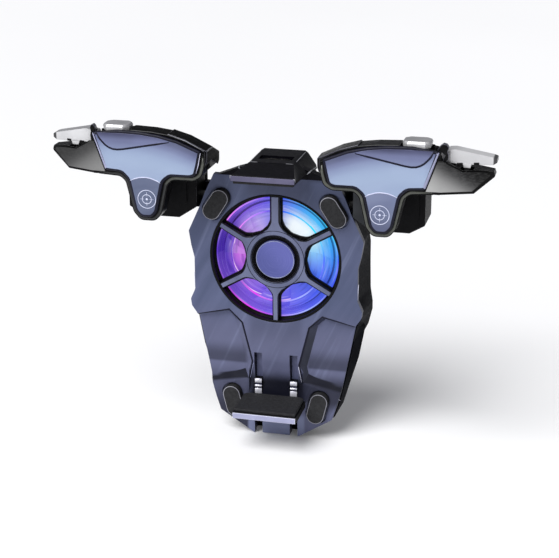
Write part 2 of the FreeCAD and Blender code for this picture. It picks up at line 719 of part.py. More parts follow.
# ------------------------------------------------------------- fan rotor --
ro = Body("fan_rotor")
ro.pad("XZ", [Circle(0, ZF, S("rotor_hub"))], 4.3, 5.1)
ro.pad("XZ", [Circle(0, ZF, S("rotor_hub")), Circle(0, ZF, S("rotor_hub") - 0.6)], 5.0, 7.8)
ro.pad("XZ", [Circle(0, ZF, S("rotor_tip")), Circle(0, ZF, S("rotor_tip") - 0.5)], 4.9, 7.5)
for k in range(9):
    a = 40 * k + 12

    def Bl(r, t, y):
        # blade section: swept back and pitched, cut on a plane of constant y
        sweep = math.radians(a + 1.1 * (r - 6.7) + t)
        return (r * math.cos(sweep), zf + r * math.sin(sweep))

    def section(t0, t1):
        rr = [6.75, 9.0, 11.5, 14.0, 16.55]
        lead = [Bl(r, t0, 0) for r in rr]
        trail = [Bl(r, t1, 0) for r in rr[::-1]]
        return lead + trail

    ro.loft([("XZ", 5.15, section(0.0, 5.5)), ("XZ", 7.35, section(24.0, 29.5))])
ro.cut("XZ", [Circle(0, ZF, S("shaft_r"))], 4.2, 5.3)
mg = Body("rotor_magnet")
mg.pad("XZ", [Circle(0, ZF, S("rotor_hub") - 0.6), Circle(0, ZF, S("rotor_hub") - 1.25)], 5.1, 7.7)
cyl("Y", (0, 4.35, ZF), S("shaft_r"), 4.35, "fan_shaft")
be = Body("fan_bearing")
be.pad("XZ", [Circle(0, ZF, S("bearing_out")), Circle(0, ZF, S("bearing_in"))], 5.5, 9.3)
st = Body("stator_core")
st.pad("XZ", [Circle(0, ZF, 3.0), Circle(0, ZF, S("bearing_out"))], 5.9, 7.6)
for k in range(4):
    ca, sa = math.cos(math.radians(90 * k + 45)), math.sin(math.radians(90 * k + 45))

    def T(r, t):
        return (r * ca - t * sa, zf + r * sa + t * ca)

    st.pad("XZ", [[T(2.7, -0.6), T(4.4, -0.6), T(4.4, -2.0), T(4.9, -1.8), T(5.2, 0), T(4.9, 1.8), T(4.4, 2.0),
                   T(4.4, 0.6), T(2.7, 0.6)]], 5.9, 7.6)
coils = []
for k in range(4):
    a = 90 * k + 45
    ob = doc.addObject("Part::Box", "CoilOut%d" % k)
    ob.Length, ob.Width, ob.Height = 0.9, 2.5, 2.2
    ib = doc.addObject("Part::Box", "CoilIn%d" % k)
    ib.Length, ib.Width, ib.Height = 1.1, 1.72, 1.22
    r = PLC(V(0, 6.75, zf), ROT(V(0, 1, 0), -a))
    ob.Placement = r.multiply(PLC(V(3.3, -1.25, -1.1), ROT()))
    ib.Placement = r.multiply(PLC(V(3.2, -0.86, -0.61), ROT()))
    coils.append(minus(ob, ib))
group(coils, "stator_coils")
fb = Body("fan_board")
fb.pad("XZ", [Circle(0, ZF, 5.3), Circle(0, ZF, S("bearing_out") + 0.1)], 8.15, 8.6)

# ----------------------------------------------------------- arm guide -----
ag = Body("arm_guide")
ag.pad("XZ", [rect(-16.6, 16.6, 20.0, 29.2)], S("arm_back") + 0.15, S("rear_back") - w)
ag.pad("XZ", [rect(-8.6, 8.6, 29.0, 30.4)], S("arm_back") + 0.15, S("rear_back") - w)
ag.pad("XZ", [rect(-16.6, 16.6, 24.8, 26.05)], 9.55, S("arm_back") + 0.3)
ag.pad("XZ", [rect(-8.6, 8.6, 29.55, 30.4)], 9.55, S("arm_back") + 0.3)
ag.pad("XZ", [rect(-16.6, 16.6, 20.0, 20.8)], 9.55, S("arm_back") + 0.3)
ag.pad("XZ", [rect(-1.6, 1.6, 20.4, 30.0)], 9.55, S("arm_back") + 0.3)

# ------------------------------------------------------------ upper jaw ----
uj = Body("upper_jaw")
hood = [(10.0, 34.2), (9.75, 35.3), (7.3, 38.9), (6.4, 39.55), (-6.4, 39.55), (-7.3, 38.9), (-9.75, 35.3), (-10.0, 34.2)]
uj.pad("XZ", [hood], 1.2, 14.6)
uj.loft([("XZ", S("upper_reach"), [(-S("upper_half"), 36.4), (S("upper_half"), 36.4), (9.5, 38.1), (-9.5, 38.1)]),
         ("XZ", -1.6, [(-10.2, 36.4), (10.2, 36.4), (6.7, 39.49), (-6.7, 39.49)])])
uj.pad("XZ", [[(-10.2, 36.4), (10.2, 36.4), (7.0, 39.1), (6.4, 39.55), (-6.4, 39.55), (-7.0, 39.1)]], -1.7, 1.4)
uj.pad("XZ", [[(-17.4, 34.2), (17.4, 34.2), (14.2, 35.4), (11.6, 36.5), (8.4, 37.5), (-8.4, 37.5), (-11.6, 36.5),
               (-14.2, 35.4)]], 1.3, 4.2)
uj.cut("XY", [rect(-4.6, 4.6, 2.5, 5.95)], 33.0, 41.0)
uj.cut("XY", [rect(-5.1, 5.1, 2.0, 6.4)], 38.9, 41.0)
uj.dress("Chamfer", lambda e, m, ends: m.y < -12.5 and abs(m.z - 38.1) < 0.02, 0.3)
jp = Body("upper_jaw_pad")
jp.pad("XZ", [rect(-9.0, 9.0, S("clamp_half") + 0.05, 36.4)], -12.0, -0.6)

# power socket: a metal shell with a contact tongue, opening upward
ps = Body("power_socket")
ps.pad("XY", [Arcs(stadium(0, 4.22, 8.94, 3.2, 0))], 31.9, 38.85)
ps.cut("XY", [Arcs(stadium(0, 4.22, 8.4, 2.66, 0))], 32.7, 39.0)
ps.pad("XY", [rect(-3.3, 3.3, 3.87, 4.57)], 32.5, 37.9)

# ----------------------------------------------------------- rubber pads ---
for label, (px, pz, ang), back in (("upper_pads", PADS[0], 2.7), ("lower_pads", PADS[1], 2.7)):
    parts = []
    for s in (1, -1):
        b = doc.addObject("PartDesign::Body", "%s_%s" % (label, "r" if s == 1 else "l"))
        bb = Body.__new__(Body)
        bb.o = b
        bb.n = 0
        a = ang if s == 1 else 180 - ang
        bb.pad("XZ", [Arcs(stadium(s * px, pz, VAL["pad_len"], VAL["pad_wide"], a))], 0.0, back)
        bb.dress("Fillet", lambda e, m, ends: abs(m.y) < 1e-4, 0.45)
        parts.append(b)
    group(parts, label)

# --------------------------------------------------------- control board ---
cb = Body("control_pcb")
LABELS.remove(cb.o)
cb.pad("XZ", [[(-14.5, -20.9), (14.5, -20.9), (16.2, -16.6), (9.5, -16.6), (7.5, -15.4), (-7.5, -15.4), (-9.5, -16.6),
               (-16.2, -16.6)]], 6.3, 7.3)
chips = [box(-9.0, -4.0, 7.3, 8.2, -20.0, -17.0), box(1.0, 3.2, 7.3, 7.9, -19.6, -17.6),
         box(6.0, 9.5, 7.3, 8.6, -19.8, -17.4), box(-1.8, 0.0, 7.3, 7.8, -19.2, -18.0),
         box(11.2, 12.6, 7.3, 7.9, -19.2, -18.2)]
group([cb.o] + chips, "control_board")

# -------------------------------------------------------------- lower jaw --
lj = Body("lower_jaw")
lj.pad("XY", [[(-S("jaw_half"), S("jaw_reach")), (S("jaw_half"), S("jaw_reach")), (S("jaw_half"), -0.6), (8.3, 0.4),
               (8.3, 1.25), (-8.3, 1.25), (-8.3, 0.4), (-S("jaw_half"), -0.6)]], S("jaw_under"), S("jaw_top"))
for s in (1, -1):
    lj.pad("XZ", [rect(min(s * 4.6, s * 6.7), max(s * 4.6, s * 6.7), -38.3, -31.3)], 2.5, 5.75)
    lj.pad("XZ", [rect(min(s * 4.6, s * 6.7), max(s * 4.6, s * 6.7), -38.3, -36.6)], 0.6, 2.7)
lj.pad("XZ", [rect(-7.6, 7.6, -36.0, -29.5)], 5.65, 7.2)
lj.cut("YZ", [[(-13.6, -38.6), (-13.6, -37.6), (-11.6, -38.6)]], -11.0, 11.0)
lj.dress("Chamfer", lambda e, m, ends: abs(m.y + 13.4) < 1e-3 and m.z > -37.0, 0.3)
jc = Body("jaw_cushion")
jc.pad("XY", [[(-9.5, -12.6), (9.5, -12.6), (9.5, -0.9), (8.1, 0.2), (-8.1, 0.2), (-9.5, -0.9)]], S("jaw_top"),
       -S("clamp_half") - 0.05)
rails = []
for s in (1, -1):
    x0, x1 = (4.6, 6.7) if s == 1 else (-6.7, -4.6)
    b0 = box(x0, x1, 2.05, 2.5, -36.6, -31.3)
    r1 = box(x0, x1, 1.62, 2.1, -32.55, -31.3)
    r2 = box(x0, x1, 1.62, 2.1, -34.0, -33.45)
    r3 = box(x0, x1, 1.62, 2.1, -36.2, -34.6)
    rails.append(fuse([b0, r1, r2, r3]))
group(rails, "jaw_rails")
ds = []
for s in (1, -1):
    x0, x1 = (9.6, 13.2) if s == 1 else (-13.2, -9.6)
    ds.append(box(x0, x1, 5.9, 6.2, -31.0, -24.0))
group(ds, "detent_springs")


# ---------------------------------------------------------- trigger units --
def trigger(side, s):
    n = "_" + side

    def M(pts):
        return mir(pts, s)

    rim = [
        (16.9, 43.4), (16.9, 41.0), (17.9, 37.2, 2.8), (20.4, 35.75, 3.0), (26.9, 35.75, 2.4), (28.4, 34.2, 2.4),
        (30.4, 25.4, 3.0), (32.4, 22.9, 2.6), (37.1, 22.9, 2.6), (39.2, 25.4, 3.0), (41.3, 34.5, 2.4), (42.9, 35.95, 2.4),
        (49.4, 36.3), (52.3, 44.3), (50.9, 47.6), (45.0, 48.6), (39.0, 48.7), (33.0, 48.45), (27.5, 47.7), (22.4, 46.2),
    ]
    tb = Body("trigger_body" + n)
    tb.pad("XZ", [M(rim)], S("body_front"), -8.1)
    # part behind the front housing, its top falling away towards the back
    over = [(16.9, 43.3), (16.9, 38.6), (19.4, 36.6), (30.0, 36.2), (52.4, 36.9), (52.4, 44.2), (50.9, 47.5), (45.0, 48.5),
            (39.0, 48.6), (33.0, 48.35), (27.5, 47.6), (22.4, 46.1)]
    tb.pad("XZ", [M(over)], -8.2, -7.2)
    fall = [(16.9, 39.84)] + over[1:5] + [(x, z - 3.465) for x, z in over[5:]]
    tb.loft([("XZ", -7.2, M(over)), ("XZ", 0.5, M(fall))])
    # outer wing below the lever
    wing = [(48.6, 36.3), (60.3, 36.4), (66.0, 41.3, 0.8), (65.5, 42.7), (61.2, 43.2), (57.2, 43.2), (53.0, 45.6), (48.6, 45.8)]
    tb.pad("XZ", [M(wing)], -12.9, -2.5)
    # slant of the wing's front and back faces, seen from above
    tb.cut("XY", [M([(51.2, -13.6), (67.0, -13.6), (67.0, -7.35), (51.2, -12.72)])], 36.0, 46.0)
    tb.cut("XY", [M([(53.6, 1.0), (53.6, -2.4), (66.5, -4.4), (67.0, 1.0)])], 36.0, 46.0)
    # inside: room for the circuit board, and down the tongue
    tb.cut("XZ", [M([(20.0, 44.6), (20.0, 38.6), (30.6, 38.2), (47.6, 38.6), (48.2, 46.6), (40.0, 46.8), (30.0, 46.6)])],
           -13.6, -6.2)
    tb.cut("XZ", [M([(31.0, 38.4), (32.4, 26.4), (33.6, 24.6), (35.9, 24.6), (37.1, 26.4), (38.5, 38.4)])], -13.6, -9.4)
    tb.cut("XZ", [M([(52.6, 38.6), (59.4, 38.6), (61.8, 41.2), (60.0, 41.8), (52.6, 42.0)])], -11.0, -4.4)
    # way for the lever's tab, and room under the lever's root
    tb.cut("XY", [M(rect(56.2, 59.9, -9.6, -6.0))], 41.2, 44.0)
    tb.cut("XZ", [M([(52.3, 43.7), (58.2, 42.9), (58.2, 46.8), (52.3, 46.8)])], -10.8, -0.9)
    # lever slot between two ears, and the pin's bore
    tb.cut("XZ", [M([(49.1, 43.0), (54.5, 43.0), (54.5, 51.5), (49.1, 51.5)])], -10.55, -5.0)
    tb.cut("XZ", [Circle(s * S("pin_x"), S("pin_z"), S("pin_r"))], -12.6, -4.0)
    # well for the short button
    tb.cut("XY", [Circle(s * 44.5, -9.2, 1.9)], 45.0, 51.0)
    # screw bores from behind
    for (bx, bz) in ((29.4, 38.0), (42.2, 38.0)):
        tb.cut("XZ", [Circle(s * bx, bz, 0.8)], -5.6, 1.0)

    # face plate
    face = [
        (17.85, 44.9, 0.6), (18.7, 41.0), (19.6, 37.6, 1.7), (21.4, 37.0, 3.0), (27.4, 37.0, 2.4), (29.6, 35.2, 2.8),
        (31.7, 26.0, 2.8), (33.2, 24.1, 2.3), (36.6, 24.1, 2.3), (38.3, 26.0, 2.8), (40.2, 35.3, 2.8), (42.2, 37.35, 2.4),
        (47.2, 37.7, 1.1), (51.0, 48.9, 0.5), (43.2, 49.95), (36.0, 49.75), (30.7, 49.1), (25.0, 47.8),
    ]
    fp = Body("face_plate" + n)
    fp.pad("XZ", [M(face)], S("face_front"), S("face_back") - 0.05)
    fp.dress("Chamfer", lambda e, m, ends: abs(m.y + 14.3) < 1e-4, 0.35)

    # top cover: arched band with a flat-bottomed notch for the short button
    top = [
        (16.5, 44.6), (22.7, 47.6), (27.9, 49.15), (33.0, 49.8), (39.0, 50.05), (45.0, 49.95), (49.3, 49.45), (51.4, 48.9),
        (51.4, 47.65), (45.0, 48.7), (39.0, 48.8), (33.0, 48.55), (27.5, 47.8), (22.4, 46.3), (16.5, 43.35),
    ]
    tc = Body("top_cover" + n)
    tc.pad("XZ", [M(top)], S("face_front") + 1.15, -7.2)
    tc.loft([("XZ", -7.2, M(top)), ("XZ", -0.6, M([(x, z - 2.97) for x, z in top]))])
    tc.cut("XY", [M(rect(39.7, 48.8, -14.4, -6.2))], 46.5, 52.0)
    tc.cut("XY", [M(rect(48.7, 52.0, -14.4, -4.9))], 45.5, 52.0)

    # side cover on the slanted front of the wing
    sv = Body("side_cover" + n)
    sv.pad("XY", [M([(46.9, -13.85), (51.6, -13.6), (66.8, -8.35), (66.8, -7.5), (51.6, -12.95), (51.1, -13.28),
                     (46.9, -13.28)])], 36.0, 47.5)
    wing_front = [(47.4, 37.3), (59.9, 37.35), (64.7, 41.8, 0.5), (64.3, 42.4), (61.0, 42.8), (57.2, 42.8), (53.0, 45.2),
                  (51.8, 46.2), (50.55, 46.2)]
    sv.cut("XZ", [rect(min(s * 40.0, s * 72.0), max(s * 40.0, s * 72.0), 34.0, 49.0), M(wing_front)], -15.5, -5.0)

    # rear clamp block
    clamp = [(24.0, 23.8, 0.4), (29.6, 20.1, 0.4), (40.9, 20.1, 0.4), (45.4, 22.7, 0.4), (45.4, 43.0), (24.0, 43.0)]
    cl = Body("rear_clamp" + n)
    cl.pad("XZ", [M(clamp)], S("clamp_front"), S("clamp_back"))
    cl.cut("YZ", [[(3.0, 43.6), (13.2, 43.6), (13.2, 38.8)]], 20.0 if s == 1 else -50.0, 50.0 if s == 1 else -20.0)
    cl.dress("Chamfer", lambda e, m, ends: abs(m.y - 12.6) < 1e-4 and m.z < 38.0, 1.0)
    cl.cut("XZ", [M([(23.0, 20.9), (43.4, 20.9), (43.4, 31.35), (23.0, 31.35)])], S("arm_front") - 0.05, S("arm_back") + 0.05)
    for (bx, bz) in ((29.4, 38.0), (42.2, 38.0)):
        cl.cut("XZ", [Circle(s * bx, bz, 1.0)], 0.0, 13.0)
        cl.cut("XZ", [Circle(s * bx, bz, 1.9)], 9.6, 13.0)
    cp = Body("clamp_pad" + n)
    cp.pad("XZ", [M([(27.0, 24.2, 1.2), (43.6, 24.2, 1.2), (43.6, 33.6, 1.2), (27.0, 33.6, 1.2)])], 0.0, S("clamp_front"))

    # two flat arms joined by a plate inside the clamp
    ax = Body("slide_arm" + n)
    lo, hi = S("arm_low"), S("arm_high")
    arm_a = [(S("arm_end") * s, lo), (27.6 * s, lo), (27.6 * s, lo + S("arm_tall")), (S("arm_end") * s, lo + S("arm_tall"))]
    arm_b = [(S("arm_end") * s, hi), (27.6 * s, hi), (27.6 * s, hi + S("arm_high_tall")),
             (S("arm_end") * s, hi + S("arm_high_tall"))]
    ax.pad("XZ", [M([(27.4, 20.95), (43.3, 20.95), (43.3, 31.3), (27.4, 31.3)])], S("arm_front"), S("arm_back"))
    ax.pad("XZ", [arm_a], S("arm_front"), S("arm_back"))
    ax.pad("XZ", [arm_b], S("arm_front"), S("arm_back"))

    # conductive foot of the tongue
    tp = Body("touch_pad" + n)
    tp.pad("XZ", [Circle(s * S("tongue_x"), 28.6, 3.2)], -8.1, S("foot_plane") - 0.02)

    # circuit board with two press switches
    sb = Body("switch_board" + n)
    sb.pad("XZ", [M([(21.0, 43.6), (21.0, 39.2), (46.9, 39.2), (46.9, 44.0), (30.0, 44.0)])], -7.2, -6.4)
    sw = []
    sw.append(sbox(s, 42.9, 46.1, -11.0, -7.4, 42.4, 44.3))
    sw.append(sbox(s, 55.9, 59.4, -9.6, -6.0, 39.2, 41.4))
    k1 = cyl("Z", (s * 44.5, -9.2, 44.3), 0.8, 0.5)
    k2 = cyl("Z", (s * 57.9, -7.8, 41.4), 0.75, 1.4)
    f1 = fuse([sw[0], k1])
    f2 = fuse([sw[1], k2])
    group([f1, f2], "press_switches" + n)

    # long lever: paddle, tab under it and hinge knuckle
    lv = Body("trigger_lever" + n)
    lv.pad("XZ", [M([(52.8, 45.2), (56.4, 44.5), (65.0, 44.1), (66.1, 44.8), (66.1, 45.95, 0.4), (64.9, 46.4), (54.6, 48.8),
                     (52.8, 48.65)])], -10.0, -1.2)
    lv.cut("XY", [M([(52.0, -10.6), (67.0, -10.6), (67.0, -6.1), (52.0, -10.1)])], 43.0, 50.0)
    lv.cut("XY", [M([(52.0, -0.8), (52.0, -5.2), (54.4, -5.2), (67.0, -2.2), (67.0, -0.8)])], 43.0, 50.0)
    lv.pad("XZ", [M([(49.9, 45.0), (53.6, 44.7), (53.6, 48.7), (51.2, 48.2)])], -9.9, -6.2)
    lv.pad("XZ", [Circle(s * S("pin_x"), S("pin_z"), 1.5)], -9.9, -6.2)
    lv.cut("XZ", [Circle(s * S("pin_x"), S("pin_z"), S("knuckle_bore"))], -10.6, -4.0)
    lv.pad("XZ", [M([(56.9, 44.7), (57.2, 43.6), (59.0, 43.6), (59.3, 44.7)])], -9.0, -6.6)
    lv.dress("Chamfer", lambda e, m, ends: (m.z > 46.4 and abs(m.x) > 53.5 and min(p.z for p in ends) > 46.2
                                             and abs(ends[0].x - ends[-1].x) > 4.0), 0.35)
    cyl("Y", (s * S("pin_x"), -12.2, S("pin_z")), S("pin_r"), 8.2, "lever_pin" + n)
    ls = doc.addObject("Part::Torus", "LeverSpring" + side)
    ls.Radius1, ls.Radius2 = 0.98, 0.28
    ls.Placement = PLC(V(s * VAL["pin_x"], -5.35, VAL["pin_z"]), ROT(V(1, 0, 0), -90))
    ls2 = doc.addObject("Part::Torus", "LeverSpringB" + side)
    ls2.Radius1, ls2.Radius2 = 0.98, 0.28
    ls2.Placement = PLC(V(s * VAL["pin_x"], -5.78, VAL["pin_z"]), ROT(V(1, 0, 0), -90))
    fuse([ls, ls2], "lever_spring" + n)

    # short button with its stem
    fbn = Body("fire_button" + n)
    y0, y1 = -12.95, -6.5
    oct_ = [(40.2, y0 + 1.7), (41.7, y0), (46.8, y0), (48.3, y0 + 1.7), (48.3, y1 - 1.5), (46.8, y1), (41.7, y1), (40.2, y1 - 1.5)]
    octs = [(40.4, y0 + 1.8), (41.85, y0 + 0.15), (46.65, y0 + 0.15), (48.1, y0 + 1.8), (48.1, y1 - 1.6), (46.65, y1 - 0.15),
            (41.85, y1 - 0.15), (40.4, y1 - 1.6)]
    octt = [(40.5, y0 + 1.85), (41.9, y0 + 0.35), (46.6, y0 + 0.35), (48.0, y0 + 1.85), (48.0, y1 - 1.6), (46.6, y1 - 0.25),
            (41.9, y1 - 0.25), (40.5, y1 - 1.6)]
    fbn.loft([("XY", 50.55, M(oct_)), ("XY", 51.15, M(octt))])
    fbn.loft([("XY", 49.3, M(octs)), ("XY", 50.56, M(oct_))])
    fbn.pad("XY", [Circle(s * 44.5, -9.2, 1.0)], 45.35, 50.2)
    # return spring round the stem, on top of the press switch
    prof = [(1.12, 44.3), (1.6, 44.3)]
    for k in range(7):
        prof += [(1.62, 44.65 + 0.71 * k), (1.36, 45.0 + 0.71 * k)] if k < 6 else [(1.62, 48.95)]
    prof += [(1.5, 49.3), (1.12, 49.3)]
    bs = doc.addObject("Part::Feature", "ButtonSpring" + side)
    pts = [V(a, 0, b) for a, b in prof]
    bs.Shape = Part.Face(Part.makePolygon(pts + [pts[0]])).revolve(V(0, 0, 0), V(0, 0, 1), 360)
    bs.Placement = PLC(V(s * 44.5, -9.2, 0), ROT())
    keep(bs, "button_spring" + n)

    scr = []
    for (bx, bz) in ((29.4, 38.0), (42.2, 38.0)):
        scr.append(screw("Y", s * bx, 10.7, bz, 1.8, 1.1, 0.8, 13.6, 0.5))
    group(scr, "clamp_screws" + n)


trigger("left", -1)
trigger("right", 1)

# ------------------------------------------------------------------ write --
doc.recompute()
bad = []
for o in doc.Objects:
    st_ = list(o.State)
    if "Invalid" in st_ or "Error" in st_:
        bad.append("%s (%s): %s" % (o.Name, o.Label, st_))
if bad:
    raise RuntimeError("failed objects: " + "; ".join(bad))
names = [o.Label for o in LABELS]
if len(set(names)) != len(names):
    raise RuntimeError("labels repeat")
os.makedirs("parts", exist_ok=True)
for f in os.listdir("parts"):
    if f.endswith(".step"):
        os.remove(os.path.join("parts", f))
for o in LABELS:
    sh = o.Shape
    if sh.isNull() or not sh.isValid() or sh.Volume <= 0 or not sh.Solids:
        raise RuntimeError("unsound shape: " + o.Label)
    sh.exportStep(os.path.join("parts", o.Label + ".step"))
    bb = sh.BoundBox
    print("%-22s %2d solids %9.2f mm3  x %7.2f %7.2f  y %7.2f %7.2f  z %7.2f %7.2f" % (
        o.Label, len(sh.Solids), sh.Volume, bb.XMin, bb.XMax, bb.YMin, bb.YMax, bb.ZMin, bb.ZMax))
print(len(LABELS), "nodes")
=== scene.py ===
"""Looks of the clip-on cooler: one procedural material per finish, softened edges on the frame's pieces,
and detailed pieces for the fan, the cover plates, the trims and the rubber rests."""
import math

import bpy
from mathutils import Matrix, Vector


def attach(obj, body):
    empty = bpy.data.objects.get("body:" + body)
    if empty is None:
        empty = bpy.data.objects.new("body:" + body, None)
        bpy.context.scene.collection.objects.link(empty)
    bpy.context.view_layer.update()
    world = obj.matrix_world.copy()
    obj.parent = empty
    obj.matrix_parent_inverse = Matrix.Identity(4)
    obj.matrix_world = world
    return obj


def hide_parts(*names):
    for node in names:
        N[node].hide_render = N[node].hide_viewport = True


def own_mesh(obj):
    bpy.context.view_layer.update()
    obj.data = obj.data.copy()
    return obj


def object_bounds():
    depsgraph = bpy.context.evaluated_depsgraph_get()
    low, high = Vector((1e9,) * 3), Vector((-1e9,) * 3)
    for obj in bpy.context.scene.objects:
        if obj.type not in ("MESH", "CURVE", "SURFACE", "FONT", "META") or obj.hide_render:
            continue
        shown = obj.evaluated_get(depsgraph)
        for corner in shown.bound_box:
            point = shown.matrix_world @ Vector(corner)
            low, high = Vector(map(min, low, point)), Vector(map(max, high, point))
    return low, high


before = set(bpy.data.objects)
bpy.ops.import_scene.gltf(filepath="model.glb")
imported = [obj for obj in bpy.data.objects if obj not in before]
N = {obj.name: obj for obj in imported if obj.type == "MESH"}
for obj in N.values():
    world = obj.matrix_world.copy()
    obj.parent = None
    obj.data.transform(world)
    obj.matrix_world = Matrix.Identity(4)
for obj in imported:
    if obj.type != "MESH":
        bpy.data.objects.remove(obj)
cad_lo, cad_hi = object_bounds()
scene = bpy.context.scene
MM = 0.001
ZF = 8.4          # height of the fan axis, mm

# ---------------------------------------------------------------- camera --
RIGHT = (0.9699554454678964, 0.24323983378886255, -0.004562572250508199)
DOWN = (0.07765314524467405, -0.3273178851738182, -0.941718105952598)
AHEAD = (-0.23055676706786152, 0.9130703068787779, -0.3363721032658775)
EYE = (0.10417372687, -0.40546851945, 0.15233522901)
cam_data = bpy.data.cameras.new("camera")
cam_data.sensor_width = 36.0
cam_data.lens = 94.634069
cam_data.clip_start = 0.01
cam_data.clip_end = 50
cam = bpy.data.objects.new("camera", cam_data)
scene.collection.objects.link(cam)
cam.matrix_world = Matrix((
    (RIGHT[0], -DOWN[0], -AHEAD[0], EYE[0]),
    (RIGHT[1], -DOWN[1], -AHEAD[1], EYE[1]),
    (RIGHT[2], -DOWN[2], -AHEAD[2], EYE[2]),
    (0, 0, 0, 1)))
scene.camera = cam
scene.view_settings.view_transform = "Standard"


# ------------------------------------------------------------- materials --
def col(r, g, b, a=1.0):
    """A screen colour from 0 to 255 as linear light."""
    out = []
    for v in (r, g, b):
        v = v / 255.0
        out.append(v / 12.92 if v <= 0.04045 else ((v + 0.055) / 1.055) ** 2.4)
    return (*out, a)


class Look:
    """A node tree with a Principled shader, and short names for the nodes that the finishes use."""

    def __init__(self, name, metallic=0.0, roughness=0.5, coat=0.0, coat_roughness=0.1, specular=0.5, sheen=0.0):
        self.mat = bpy.data.materials.new(name)
        self.mat.use_nodes = True
        self.nt = self.mat.node_tree
        self.nt.nodes.clear()
        out = self.nt.nodes.new("ShaderNodeOutputMaterial")
        self.b = self.nt.nodes.new("ShaderNodeBsdfPrincipled")
        self.nt.links.new(self.b.outputs[0], out.inputs[0])
        self.b.inputs["Metallic"].default_value = metallic
        self.b.inputs["Roughness"].default_value = roughness
        self.b.inputs["Coat Weight"].default_value = coat
        self.b.inputs["Coat Roughness"].default_value = coat_roughness
        self.b.inputs["Specular IOR Level"].default_value = specular
        self.b.inputs["Sheen Weight"].default_value = sheen
        self.tc = self.nt.nodes.new("ShaderNodeTexCoord")
        self.obj = self.tc.outputs["Object"]
        self._xyz = None

    def link(self, a, b):
        self.nt.links.new(a, b)

    def feed(self, node, i, v):
        if hasattr(v, "is_output"):
            self.link(v, node.inputs[i])
        else:
            node.inputs[i].default_value = v

    def math(self, op, a, b=0.0, c=None):
        n = self.nt.nodes.new("ShaderNodeMath")
        n.operation = op
        self.feed(n, 0, a)
        self.feed(n, 1, b)
        if c is not None:
            self.feed(n, 2, c)
        return n.outputs[0]

    def xyz(self, world=False):
        key = "w" if world else "o"
        self._xyz = self._xyz or {}
        if key not in self._xyz:
            s = self.nt.nodes.new("ShaderNodeSeparateXYZ")
            if world:
                g = self.nt.nodes.new("ShaderNodeNewGeometry")
                self.link(g.outputs["Position"], s.inputs[0])
            else:
                self.link(self.obj, s.inputs[0])
            self._xyz[key] = [self.math("MULTIPLY", o, 1000.0) for o in s.outputs]
        return self._xyz[key]

    def mapped(self, scale=(1, 1, 1), rot=(0, 0, 0), loc=(0, 0, 0)):
        t = self.nt.nodes.new("ShaderNodeMapping")
        self.link(self.obj, t.inputs["Vector"])
        t.inputs["Rotation"].default_value = rot
        m = self.nt.nodes.new("ShaderNodeMapping")
        self.link(t.outputs[0], m.inputs["Vector"])
        m.inputs["Scale"].default_value = scale
        m.inputs["Location"].default_value = loc
        return m.outputs[0]

    def noise(self, scale=100.0, detail=3.0, vec=None, rough=0.5):
        n = self.nt.nodes.new("ShaderNodeTexNoise")
        self.link(vec or self.obj, n.inputs["Vector"])
        n.inputs["Scale"].default_value = scale
        n.inputs["Detail"].default_value = detail
        n.inputs["Roughness"].default_value = rough
        return n.outputs["Fac"] if "Fac" in n.outputs else n.outputs[0]

    def step(self, v, lo, hi, a=0.0, b=1.0):
        m = self.nt.nodes.new("ShaderNodeMapRange")
        m.interpolation_type = "SMOOTHSTEP"
        self.feed(m, 0, v)
        for i, x in enumerate((lo, hi, a, b)):
            m.inputs[i + 1].default_value = x
        return m.outputs[0]

    def ramp(self, fac, stops, mode="EASE"):
        r = self.nt.nodes.new("ShaderNodeValToRGB")
        r.color_ramp.interpolation = mode
        els = r.color_ramp.elements
        while len(els) < len(stops):
            els.new(0.5)
        for e, (p, c) in zip(els, sorted(stops, key=lambda s: s[0])):
            e.position = p
            e.color = c if len(c) == 4 else (*c, 1)
        self.link(fac, r.inputs[0])
        return r.outputs[0]

    def mix(self, fac, a, b, mode="MIX"):
        m = self.nt.nodes.new("ShaderNodeMix")
        m.data_type = "RGBA"
        m.blend_type = mode
        self.feed(m, 0, fac)
        self.feed(m, 6, a)
        self.feed(m, 7, b)
        return m.outputs[2]

    def base(self, v):
        self.feed(self.b, self.b.inputs.find("Base Color"), v)

    def rough(self, lo, hi, scale=300.0, detail=3.0, vec=None):
        f = self.noise(scale, detail, vec)
        self.link(self.step(f, 0.3, 0.7, lo, hi), self.b.inputs["Roughness"])

    def bump(self, height, strength=0.2, dist=0.0001):
        n = self.nt.nodes.new("ShaderNodeBump")
        n.inputs["Strength"].default_value = strength
        n.inputs["Distance"].default_value = dist
        self.link(height, n.inputs["Height"])
        self.link(n.outputs[0], self.b.inputs["Normal"])

    def emit(self, c, strength):
        self.feed(self.b, self.b.inputs.find("Emission Color"), c)
        self.b.inputs["Emission Strength"].default_value = strength


LOOKS = {}


def plastic(name, a, b, scale=220.0, rough=(0.3, 0.45), grain=900.0, bump=0.08, coat=0.0, metallic=0.0, specular=0.5, back=None):
    """Moulded plastic or paint: two close tones in soft clouds, a fine grain in the bump and uneven gloss.
    Faces that look back can take a lighter tone, painted light where the lamps don't reach."""
    k = Look(name, coat=coat, metallic=metallic, specular=specular)
    tone = k.mix(k.step(k.noise(scale, 4), 0.3, 0.7), a, b)
    if back:
        sn = k.nt.nodes.new("ShaderNodeSeparateXYZ")
        k.link(k.tc.outputs["Normal"], sn.inputs[0])
        tone = k.mix(k.step(sn.outputs[1], 0.55, 0.9), tone, back)
    k.base(tone)
    k.rough(rough[0], rough[1], scale * 2.1)
    k.bump(k.noise(grain, 2), bump, 0.00008)
    LOOKS[name] = k.mat
    return k
